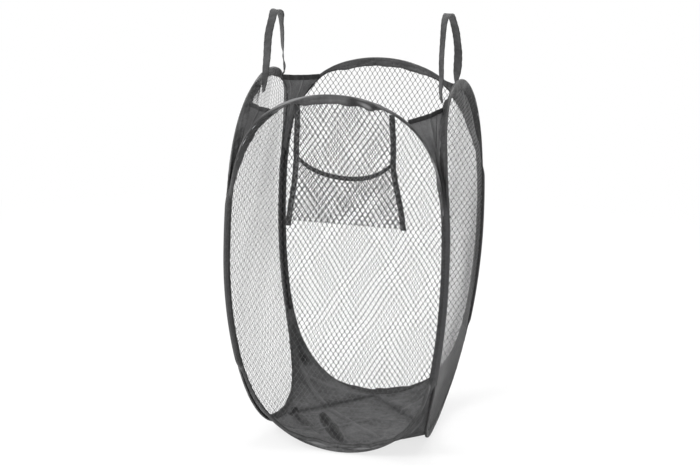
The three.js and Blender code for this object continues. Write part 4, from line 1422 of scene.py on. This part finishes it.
def bottom_lift(points):
    """Height of the bottom's folds at places on the floor, and its painted shade and painted highlights there."""
    x, y = points[..., 0], points[..., 1]
    lift = 0.25 * (1 + np.sin(x * 71 + 1.3) * np.sin(y * 63 + 0.4))
    dark = worn = 0 * x
    for x0, y0, x1, y1, size, half in BOTTOM_CREASES:
        along, off, long = fold_off(points, (x0, y0), (x1, y1))
        fade = smooth(-0.01, 0.02, along) * smooth(long + 0.01, long - 0.02, along)
        lift = lift + size * fade * np.clip(1 - np.abs(off) / half, 0, 1) ** 1.3
        # a painted highlight on each crease's ridge, and painted shade beside it
        worn = worn + 1.3 * size * fade * bell(off, 0, 0.0036)
        dark = dark + 0.4 * size * fade * bell(off, half * 0.6, half * 0.5)
    lift = settings("corner").bottom_fold * lift
    for x0, y0, x1, y1, high, half in BOTTOM_PLEATS:
        along, off, long = fold_off(points, (x0, y0), (x1, y1))
        fade = smooth(0.0, 0.02, along) * smooth(long + 0.003, long - 0.004, along)
        slope = np.where(off > 0, np.clip(1 - off / half, 0, 1), np.clip(1 + off / (half * 0.25), 0, 1))
        lift = lift + high * fade * slope
        belly = np.sin(math.pi * np.clip(along / long, 0, 1)) ** 0.6
        # painted shade under each pleat, and a painted highlight along its edge
        dark = dark + fade * smooth(half * (1.05 * belly + 0.02), half * 0.75 * belly, np.abs(off))
        worn = worn + 0.7 * fade * bell(np.abs(off), half * 1.15 * belly, 0.0016)
    return lift, np.clip(dark, 0, 1), np.clip(worn, 0, 1)


def corner_half(panel, other, panel_side, heights, columns):
    """Cloth from a panel's sewn line to the middle of the corner that it shares with a neighbour."""
    own, theirs = sewn_line(panel, panel_side, heights), sewn_line(other, not panel_side, heights)
    reach = ((own + theirs) / 2 - own)[:, None]
    return own[:, None] + reach * np.linspace(0, 1, columns)[None, :, None]


def bottom_half(panel, side):
    """Half of a panel's part of the bottom, on one side of its middle: its grid, and its painted shade and painted
    highlights.
    """
    corner, body = settings("corner"), settings("body")
    other, flat_rows = panel.next if side else panel.previous, 64
    heights = body.rise + (corner.seam_foot + 0.012 - body.rise) * np.linspace(0, 1, 40) ** 1.5
    rising = corner_half(panel, other, side, heights, 40)
    foot = rising[0]
    inner = foot * corner.flat_share
    inner[:, 2] = 0
    flat = inner[None] * np.linspace(0, 1, flat_rows)[:, None, None]
    steps = np.linspace(0, 1, 5)[1:-1, None, None]
    rise = inner + (foot - inner)[None] * steps
    rise[..., 2] = foot[None, :, 2] * steps[..., 0] ** 2
    sheet = np.concatenate([flat, rise, rising])
    # folds fade out where the cloth is sewn, and bow the corner a little outwards
    sewn = smooth(0.0, 0.02, np.linalg.norm(sheet - sheet[:, :1], axis=-1))
    low = slice(flat_rows + len(rise))
    sewn[low] = smooth(0.0, 0.03, np.linalg.norm(sheet[low] - foot[None], axis=-1))
    lift, dark, worn = bottom_lift(sheet)
    up = np.zeros_like(sheet)
    up[..., 2] = lift * sewn
    steep = smooth(0.02, 0.09, sheet[..., 2])
    outward = panel.spot(1.0 if side else -1.0, -1.0) / math.sqrt(2)
    wave = waver(sheet, [((9, 4, 21), 0.4, 1.0), ((-6, 11, 33), 2.0, 0.7), ((13, 13, 5), 1.1, 0.8)])
    bow = sewn * steep * (0.0035 + 0.0012 * wave)
    start, by = BOTTOM_PAINTED_SHADE[CORNER_NAMES[(panel if side else panel.previous).name]]
    # painted shade on the steep cloth where it bows furthest, and in each corner above a height
    wall_shade = np.clip(np.abs(wave) - 1.15, 0, 1) * steep + by * smooth(start, start + 0.008, sheet[..., 2])
    dark, worn = (dark * (1 - steep**4) + wall_shade) * sewn, worn * (1 - steep**4) * sewn
    return sheet + up * (1 - steep)[..., None] + outward * bow[..., None], dark, worn


def build_bottom(panel):
    """A panel's part of the bottom: its two halves in one sheet, thickened and sewn to the panel's sleeve."""
    grids, dark, worn = zip(*(bottom_half(panel, side) for side in (True, False)))
    faces = grid_faces(*grids[0].shape[:2])
    faces += [tuple(grids[0][..., 0].size + v for v in reversed(face)) for face in faces]
    made = mesh_object("bottom_cloth_" + panel.name, np.concatenate(grids), faces)
    # painted shade and painted highlights of the cloth
    set_value(made, "crease", np.concatenate(dark))
    set_value(made, "worn", np.concatenate(worn))
    finish_mesh(made, "bottom", merge=0.00002)
    if made.data.polygons[0].normal.z < 0:
        made.data.flip_normals()
    solid = made.modifiers.new("cloth", "SOLIDIFY")
    solid.thickness, solid.offset = settings("corner").bottom_cloth, 1.0
    settle(made, solid)
    fit(made, "bottom_cloth" if panel.name == "front" else None, panel.name)
    axis, anchor = panel.spot(0.0, 1.0), panel.spot(0.0, -0.140)
    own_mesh(made)
    flat = (0.36, 0.22)
    sheet_area(grids, *flat)


# ---------------------------------------------------------------- straps


def strap_pivot(panel):
    """Where the handle turns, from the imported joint."""
    return Vector(next(j for j in frame["joints"] if j["name"] == panel.name + "_strap_swing")["pos_m"])


def strap_inward(panel):
    """Which way along x a handle's inside faces."""
    return 1.0 if panel.name == "left" else -1.0


# The straps' ways from the front foot to the back one: place towards the back, height and place in, all from the
# pivot in millimetres, and the strap's turn in degrees, which is none where its width points across the hamper
STRAP_WAYS = {
    "left": (
        (-94, -26, 7, -62), (-84, -6, 6, -40), (-74, 22, 6, -27), (-62, 60, 5, -20), (-45, 88, 7, -16),
        (-24, 97, 5, -4), (0, 95, 4, 6), (20, 88, 3, 16), (34, 74, 1, 42), (46, 54, 0, 50),
        (57, 24, -1, 60), (62, 9, -1, 80), (65, -8, 1, 62), (66, -23, -1, 88),
    ),
    "right": (
        (-79, -19, 6, -76), (-75, -4, 11, -64), (-72, 17, 11, -53), (-69, 46, 12, -50), (-60, 78, 13, -48),
        (-43, 103, 14, -40), (-17, 113, 14, -8), (7, 110, 14, 4), (26, 98, 12, 21), (42, 79, 9, 20),
        (55, 60, 8, 25), (65, 38, 7, 20), (71, 13, 8, 19), (73, -9, 10, 55), (75, -22, 8, 66),
    ),
}


def bent(rows, stations):
    """A smooth way through rows of numbers."""
    rows = np.array(rows, float)
    at = np.linspace(0, len(rows) - 1, stations)
    first = np.clip(at.astype(int), 0, len(rows) - 2)
    done = (at - first)[:, None]
    slope = np.gradient(rows, axis=0)
    leaving = (rows[first] * (1 + 2 * done) + slope[first] * done) * (1 - done) ** 2
    coming = (rows[first + 1] * (3 - 2 * done) - slope[first + 1] * (1 - done)) * done**2
    return leaving + coming


def over_sleeve(panel, spine, inward):
    """Moves a strap's middle line in where it would lie in the sleeve that it is sewn on."""
    rings, _ = sleeve_rings(panel, Rim(panel, ROUGH))
    high = rings[rings[..., 2].max(axis=1) > 0.5]
    for k in np.nonzero(spine[:, 2] < strap_pivot(panel).z)[0]:
        near = high[np.argmin(np.abs(high[:, :, 1].mean(axis=1) - spine[k, 1]))]
        within = np.abs(near[:, 2] - spine[k, 2]) < 0.003
        if within.any():
            least = np.max(near[within, 0] * inward) + settings("strap").thickness / 2 + CLEARANCE
            spine[k, 0] = inward * max(spine[k, 0] * inward, least)
    spine[:, 0] = np.convolve(np.pad(spine[:, 0], 4, "edge"), np.ones(9) / 9, "valid")
    return spine


def strap_rings(panel, seed, stations):
    """Sections of a whole strap, how far across their points lie, its middle line, its width's and thickness's
    directions, and the run along it."""
    strap, inward = settings("strap"), strap_inward(panel)
    y, z, x, turned = bent(STRAP_WAYS[panel.name], 900).T
    z = np.where(z > 0, z * strap.rise, z)
    spine = np.array(strap_pivot(panel)) + 0.001 * np.stack([inward * x, y, z], -1)
    run = run_along(spine)
    at = np.linspace(0, run[-1], stations)
    spine = over_sleeve(panel, follow(spine, run, at), inward)
    turned = np.radians(np.interp(at, run, turned))
    along = unit(np.gradient(spine, axis=0))
    level = unit(np.array([1.0, 0.0, 0.0]) - along * along[:, :1])
    wide = level * np.cos(turned)[:, None] + np.cross(along, level) * np.sin(turned)[:, None]
    thin = np.cross(along, wide)
    end = np.minimum(at, at[-1] - at)
    half_width = strap.width / 2 * (1 - 0.16 * bell(end, 0, 0.002)) + 0.0002 * np.sin(at * 480 + seed)
    face = [(-1, 0.55), (-0.86, 1), (-0.5, 0.72), (0, 0.62), (0.5, 0.72), (0.86, 1), (1, 0.55)]
    profile = [(a, -b) for a, b in face] + face[::-1]
    cup = strap.cup * np.sin(at * 21 + seed) + 0.5 * strap.cup * np.sin(at * 95 + 2 * seed)
    rings = []
    for a, b in profile:
        lift = b * strap.thickness / 2 + cup * (a * a - 0.4)
        rings.append(spine + wide * (a * half_width)[:, None] + thin * lift[:, None])
    return np.stack(rings, 1), np.array(profile)[:, 0] * strap.width / 2, spine, wide, thin, at


def build_strap(panel, seed):
    """The handle's arch, and its two sewn ends on the sleeve's inner face with their boxes of stitches."""
    strap = settings("strap")
    side, handle = panel.name, panel.name + "_handle"
    rings, across, spine, wide, thin, at = strap_rings(panel, seed, 260)
    above = np.nonzero(spine[:, 2] >= strap_pivot(panel).z)[0]
    front, back = above[0], above[-1]

    def piece(name, part, node, body=None):
        made = sweep(name, rings[part], "strap")
        grid_uv(made, at[part], across)
        return fit(made, node, body)

    made = piece(side + "_strap", slice(front, back + 1), handle, handle)
    float(at[back] - at[front])
    rows = []
    for end, part in (("front", np.arange(front, -1, -1)), ("back", np.arange(back, len(at)))):
        made = piece(f"{side}_{end}_end", part, f"{handle}_{end}_end")
        top = part[0]
        down = np.abs(at[part] - at[top])
        held = part[np.argmax(down > down[-1] - strap.sewn)]
        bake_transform(made)
        faces_in = np.sign(thin[held, 0] * strap_inward(panel))

        def spot(a, b):
            k = part[np.argmin(np.abs(down - (down[-1] - strap.sewn * (1 - b))))]
            return spine[k] + wide[k] * a * strap.width / 2 + thin[k] * faces_in * (strap.thickness / 2 + CLEARANCE)

        # a box with a cross in it
        box = [(-0.7, 0.9), (0.7, 0.9), (0.7, 0.1), (-0.7, 0.1), (-0.7, 0.9), (0.7, 0.1)]
        line = [spot(a, b) for a, b in box]
        rows += [line, [line[3], line[1]]]
    stitches(side + "_end_stitches", rows, side)


# ---------------------------------------------------------------- pocket


def pocket_side(side, z):
    """Place of a pocket tape at a height: it hangs straight to the pouch's edge and spreads below it."""
    pocket, z = settings("pocket"), np.asarray(z)
    name = "left_" if side < 0 else "right_"
    foot, knee, top = (getattr(pocket, name + place) for place in ("foot", "knee", "top"))
    bend = pocket.edge - 0.002
    below = foot + (knee - foot) * (z - pocket.foot) / (bend - pocket.foot)
    above = knee + (top - knee) * (z - bend) / (pocket.top - bend)
    return np.where(z < bend, below, above)


def pouch_edge(along):
    """Height of the pouch's edge, by how far it is from the left tape to the right one."""
    pocket = settings("pocket")
    return pocket.edge - pocket.dip * np.sin(math.pi * np.clip(along, 0, 1)) ** pocket.dip_squareness


def pocket_share(t, z):
    """How far a place is from the left tape to the right one."""
    low, high = pocket_side(-1, z), pocket_side(1, z)
    return (t - low) / (high - low)


def pocket_lifts():
    """Lifts of the pocket's backing and of the pouch's foot."""
    backing = -(settings("sleeve").half + CLEARANCE + 0.0004)
    return backing, backing - 0.0011


def pouch_lift(t, z):
    """Lift of the pouch, which bulges towards its open edge."""
    pocket = settings("pocket")
    along = np.clip(pocket_share(t, z), 0, 1)
    climb = np.clip((z - pocket.foot) / (pouch_edge(along) - pocket.foot), 0, 1)
    return pocket_lifts()[1] - pocket.bulge * np.sin(math.pi * along) ** 2 * (1 - (1 - climb) ** 2)


def crown_at(panel, t, inset=0.007):
    """Height of a line in from the crown's outline."""
    at_t, at_z = Rim(panel, FINE).inset(inset)
    upper = at_z > settings("body").waist
    order = np.argsort(at_t[upper])
    return np.interp(t, at_t[upper][order], at_z[upper][order])


def build_pocket_nets(front):
    """The pocket's net backing and its net pouch."""
    net, pocket = settings("net"), settings("pocket")
    crown_t = np.linspace(-0.12, 0.14, 60)  # past both tapes
    crown_z = crown_at(front, crown_t)
    low, high = (-0.1, pocket.foot - 0.01), (0.13, 0.615)
    for name, head, lift, seed in (
        ("pocket_backing", lambda t, s: np.interp(t, crown_t, crown_z), lambda t, z: pocket_lifts()[0] + 0 * t, 2.2),
        ("pocket_pouch", lambda t, s: pouch_edge(s), pouch_lift, 5.1),
    ):

        def inside(t, z):
            s = pocket_share(t, z)
            return (s > 0) & (s < 1) & (z > pocket.foot) & (z < head(t, s))

        width, height = net.cell_width * 1.02, net.cell_height * 0.98
        flat, edges, knots = web(inside, low, high, width, height, net.knot, net.stray * 0.8, seed)
        place = lambda t, z, over: front.point(t, z, lift(t, z) + over)
        net_object(name, flat, edges, knots, place, "front", name + "_net", pocket.weight)


def build_pocket_binding(front):
    """The bound edge of the pouch."""
    high, thickness = settings("pocket").binding, 0.0008
    s = np.linspace(0.03, 0.97, 90)
    z = pouch_edge(s)
    t = pocket_side(-1, z) + (pocket_side(1, z) - pocket_side(-1, z)) * s
    base = pouch_lift(t, z)
    # height as a share of the binding's, and lift as a share of its thickness
    profile = [(0.0, -1.2), (0.15, -1.6), (0.5, -1.35), (0.9, -1.6), (1.0, -0.6), (0.9, 0.5), (0.5, 0.3)]
    profile += [(0.15, 0.5), (0, 0.2)]
    rings = np.stack([front.point(t, z + a * high, base + b * thickness) for a, b in profile], 1)
    binding = sweep("pocket_binding", rings, "tape")
    run = run_along(np.stack([t, z], -1))
    grid_uv(binding, run, np.linspace(0, 0.012, len(profile)))
    fit(binding, "pocket_edge_binding", "front")


def build_pocket_tape(front, side, name, tail):
    """One of the two tapes that hold the pocket."""
    pocket = settings("pocket")
    top = float(crown_at(front, pocket_side(side, pocket.top)))
    heights = np.linspace(pocket.foot - tail, top, 60)
    lift = pocket_lifts()[1] - 0.0004 - CLEARANCE * 2 - pocket.tape_thickness / 2
    middle = pocket_side(side, heights) + 0.0008 * np.sin(heights * 60 + side)
    half = pocket.tape_width / 2 + 0.0003 * np.sin(heights * 300 + side)
    grid = [
        front.point(middle + e * half, heights, lift - 0.0003 * np.cos(e * 1.4) * np.sin(heights * 220 + side))
        for e in np.linspace(-1, 1, 7)
    ]
    tape = sheet_object("pocket_tape_" + name + "_cloth", np.stack(grid, 1), pocket.tape_thickness, "tape")
    set_uv(tape, *(np.array([v.co[axis] for v in tape.data.vertices]) for axis in (2, 0)))
    fit(tape, "pocket_tape_" + name, "front")


def build_pocket(front):
    pocket = settings("pocket")
    build_pocket_nets(front)
    build_pocket_binding(front)
    build_pocket_tape(front, -1, "left", pocket.left_tail)
    build_pocket_tape(front, 1, "right", pocket.right_tail)


# ---------------------------------------------------------------- stage


def stand(name, data):
    """An object of its own for a lamp's or a camera's data."""
    made = bpy.data.objects.new(name, data)
    bpy.context.scene.collection.objects.link(made)
    return made


# Where the lamps point
LAMPS_AIM = Vector((0, 0, 0.35))


def area_lamp(name, place, size, power):
    data = bpy.data.lights.new(name, "AREA")
    data.shape, data.size, data.energy = "DISK", size, power
    lamp = stand(name, data)
    lamp.location = place
    lamp.rotation_euler = (LAMPS_AIM - Vector(place)).to_track_quat("-Z", "Y").to_euler()


def build_camera():
    stage = settings("stage")
    data = bpy.data.cameras.new("camera")
    data.sensor_width, data.lens = 36, stage.lens
    data.shift_x, data.shift_y = stage.shift_x, stage.shift_y
    data.clip_start, data.clip_end = 0.05, 60
    camera = stand("camera", data)
    a, e = stage.azimuth, stage.elevation
    back = Vector((math.sin(a) * math.cos(e), -math.cos(a) * math.cos(e), math.sin(e)))
    camera.location = Vector((0, 0, stage.aim)) + back * stage.distance
    level = (-back).to_track_quat("-Z", "Y").to_matrix().to_4x4()
    camera.rotation_euler = (level @ Matrix.Rotation(stage.roll, 4, "Z")).to_euler()
    bpy.context.scene.camera = camera


def build_floor(half=6.0, below=0.0006):
    corners = [(-half, -half, 0), (half, -half, 0), (half, half, 0), (-half, half, 0)]
    made = mesh_object("floor", corners, [(0, 1, 2, 3)])
    made.location.z = -below
    paint(made, "floor")


def build_world():
    """Even light from all sides, and plain white where the camera looks past the hamper."""
    world = bpy.data.worlds.new("world")
    bpy.context.scene.world = world
    world.use_nodes = True
    tree = world.node_tree
    tree.nodes.clear()
    rays = add_node(tree, "ShaderNodeLightPath").outputs
    even, white = (
        add_node(tree, "ShaderNodeBackground", None, {"Color": (1, 1, 1, 1), "Strength": strength})
        for strength in (settings("stage").world, 1.0)
    )
    either = {0: rays["Is Camera Ray"], 1: rays["Is Transmission Ray"]}
    seen = add_node(tree, "ShaderNodeMath", {"operation": "MAXIMUM"}, either)
    mix = add_node(tree, "ShaderNodeMixShader", None, {0: seen, 1: even, 2: white})
    add_node(tree, "ShaderNodeOutputWorld", None, {"Surface": mix})


# ---------------------------------------------------------------- operators


class HAMPER_OT_stage(bpy.types.Operator):
    """Adds the camera, the pale floor, the lamps and the white surroundings"""

    bl_idname = "hamper.stage"
    bl_label = "Stage"

    def execute(self, context):
        stage = settings("stage")
        context.scene.view_settings.view_transform = "Standard"
        build_camera()
        build_floor()
        build_world()
        area_lamp("key", (-1.5, -2.2, 2.4), 1.6, stage.key)
        area_lamp("fill", (2.4, -1.4, 1.2), 1.8, stage.fill)
        area_lamp("behind", (0.6, 2.4, 2.0), 1.6, stage.rim)
        area_lamp("above", (-0.2, -0.3, 3.2), 1.2, stage.top)
        return {"FINISHED"}


class HAMPER_OT_wires(bpy.types.Operator):
    """Gives the spring wires and their ferrules their steel"""

    bl_idname = "hamper.wires"
    bl_label = "Wires and ferrules"

    def execute(self, context):
        for name in panels_now():
            for kind in ("wire", "ferrule"):
                paint(frame["nodes"][f"{name}_{kind}"], "steel")
        return {"FINISHED"}


class HAMPER_OT_sleeves(bpy.types.Operator):
    """Builds the puckered cloth sleeve round each wire, with its stitches"""

    bl_idname = "hamper.sleeves"
    bl_label = "Sleeves"

    def execute(self, context):
        for panel in panels_now().values():
            build_sleeve(panel)
        return {"FINISHED"}


class HAMPER_OT_nets(bpy.types.Operator):
    """Builds the knotted net of each panel"""

    bl_idname = "hamper.nets"
    bl_label = "Nets"

    def execute(self, context):
        for seed, panel in enumerate(panels_now().values()):
            build_net(panel, 0.6 + 1.3 * seed)
        return {"FINISHED"}


class HAMPER_OT_corners(bpy.types.Operator):
    """Builds the tape, gusset and hem of each corner"""

    bl_idname = "hamper.corners"
    bl_label = "Corners"

    def execute(self, context):
        for seed, panel in enumerate(panels_now().values()):
            build_corner_tape(panel, 0.9 + 2.1 * seed)
            build_gusset(panel, 0.9 + 2.1 * seed)
        return {"FINISHED"}


class HAMPER_OT_bottom(bpy.types.Operator):
    """Builds the creased cloth bottom, a part for each panel"""

    bl_idname = "hamper.bottom"
    bl_label = "Bottom"

    def execute(self, context):
        for panel in panels_now().values():
            build_bottom(panel)
        return {"FINISHED"}


class HAMPER_OT_straps(bpy.types.Operator):
    """Builds the strap handles with their sewn ends"""

    bl_idname = "hamper.straps"
    bl_label = "Straps"

    def execute(self, context):
        build_strap(panels_now()["left"], 0.4)
        build_strap(panels_now()["right"], 2.3)
        return {"FINISHED"}


class HAMPER_OT_pocket(bpy.types.Operator):
    """Builds the net pocket inside the front panel"""

    bl_idname = "hamper.pocket"
    bl_label = "Pocket"

    def execute(self, context):
        build_pocket(panels_now()["front"])
        return {"FINISHED"}


OPERATORS = (
    HAMPER_OT_stage,
    HAMPER_OT_wires,
    HAMPER_OT_sleeves,
    HAMPER_OT_nets,
    HAMPER_OT_corners,
    HAMPER_OT_bottom,
    HAMPER_OT_straps,
    HAMPER_OT_pocket,
)


class HAMPER_PT_panel(bpy.types.Panel):
    """Sizes, colours and steps of the hamper"""

    bl_idname = "HAMPER_PT_panel"
    bl_label = "Hamper"
    bl_space_type = "VIEW_3D"
    bl_region_type = "UI"
    bl_category = "Hamper"

    def draw(self, context):
        for group, kind in GROUPS.items():
            box = self.layout.box()
            box.label(text=group.capitalize())
            for name in kind.__annotations__:
                box.prop(settings(group), name)
        for operator in OPERATORS:
            self.layout.operator(operator.bl_idname)


def register():
    for kind in (*GROUPS.values(), *OPERATORS, HAMPER_PT_panel):
        bpy.utils.register_class(kind)
    for group, kind in GROUPS.items():
        setattr(bpy.types.Scene, "hamper_" + group, PointerProperty(type=kind))


def unregister():
    for group in GROUPS:
        delattr(bpy.types.Scene, "hamper_" + group)
    for kind in reversed((*GROUPS.values(), *OPERATORS, HAMPER_PT_panel)):
        bpy.utils.unregister_class(kind)


def main():
    register()
    for operator in OPERATORS:
        name = operator.bl_idname.split(".")[1]
        getattr(bpy.ops.hamper, name)()
    bpy.context.view_layer.update()


if __name__ == "__main__":
    main()
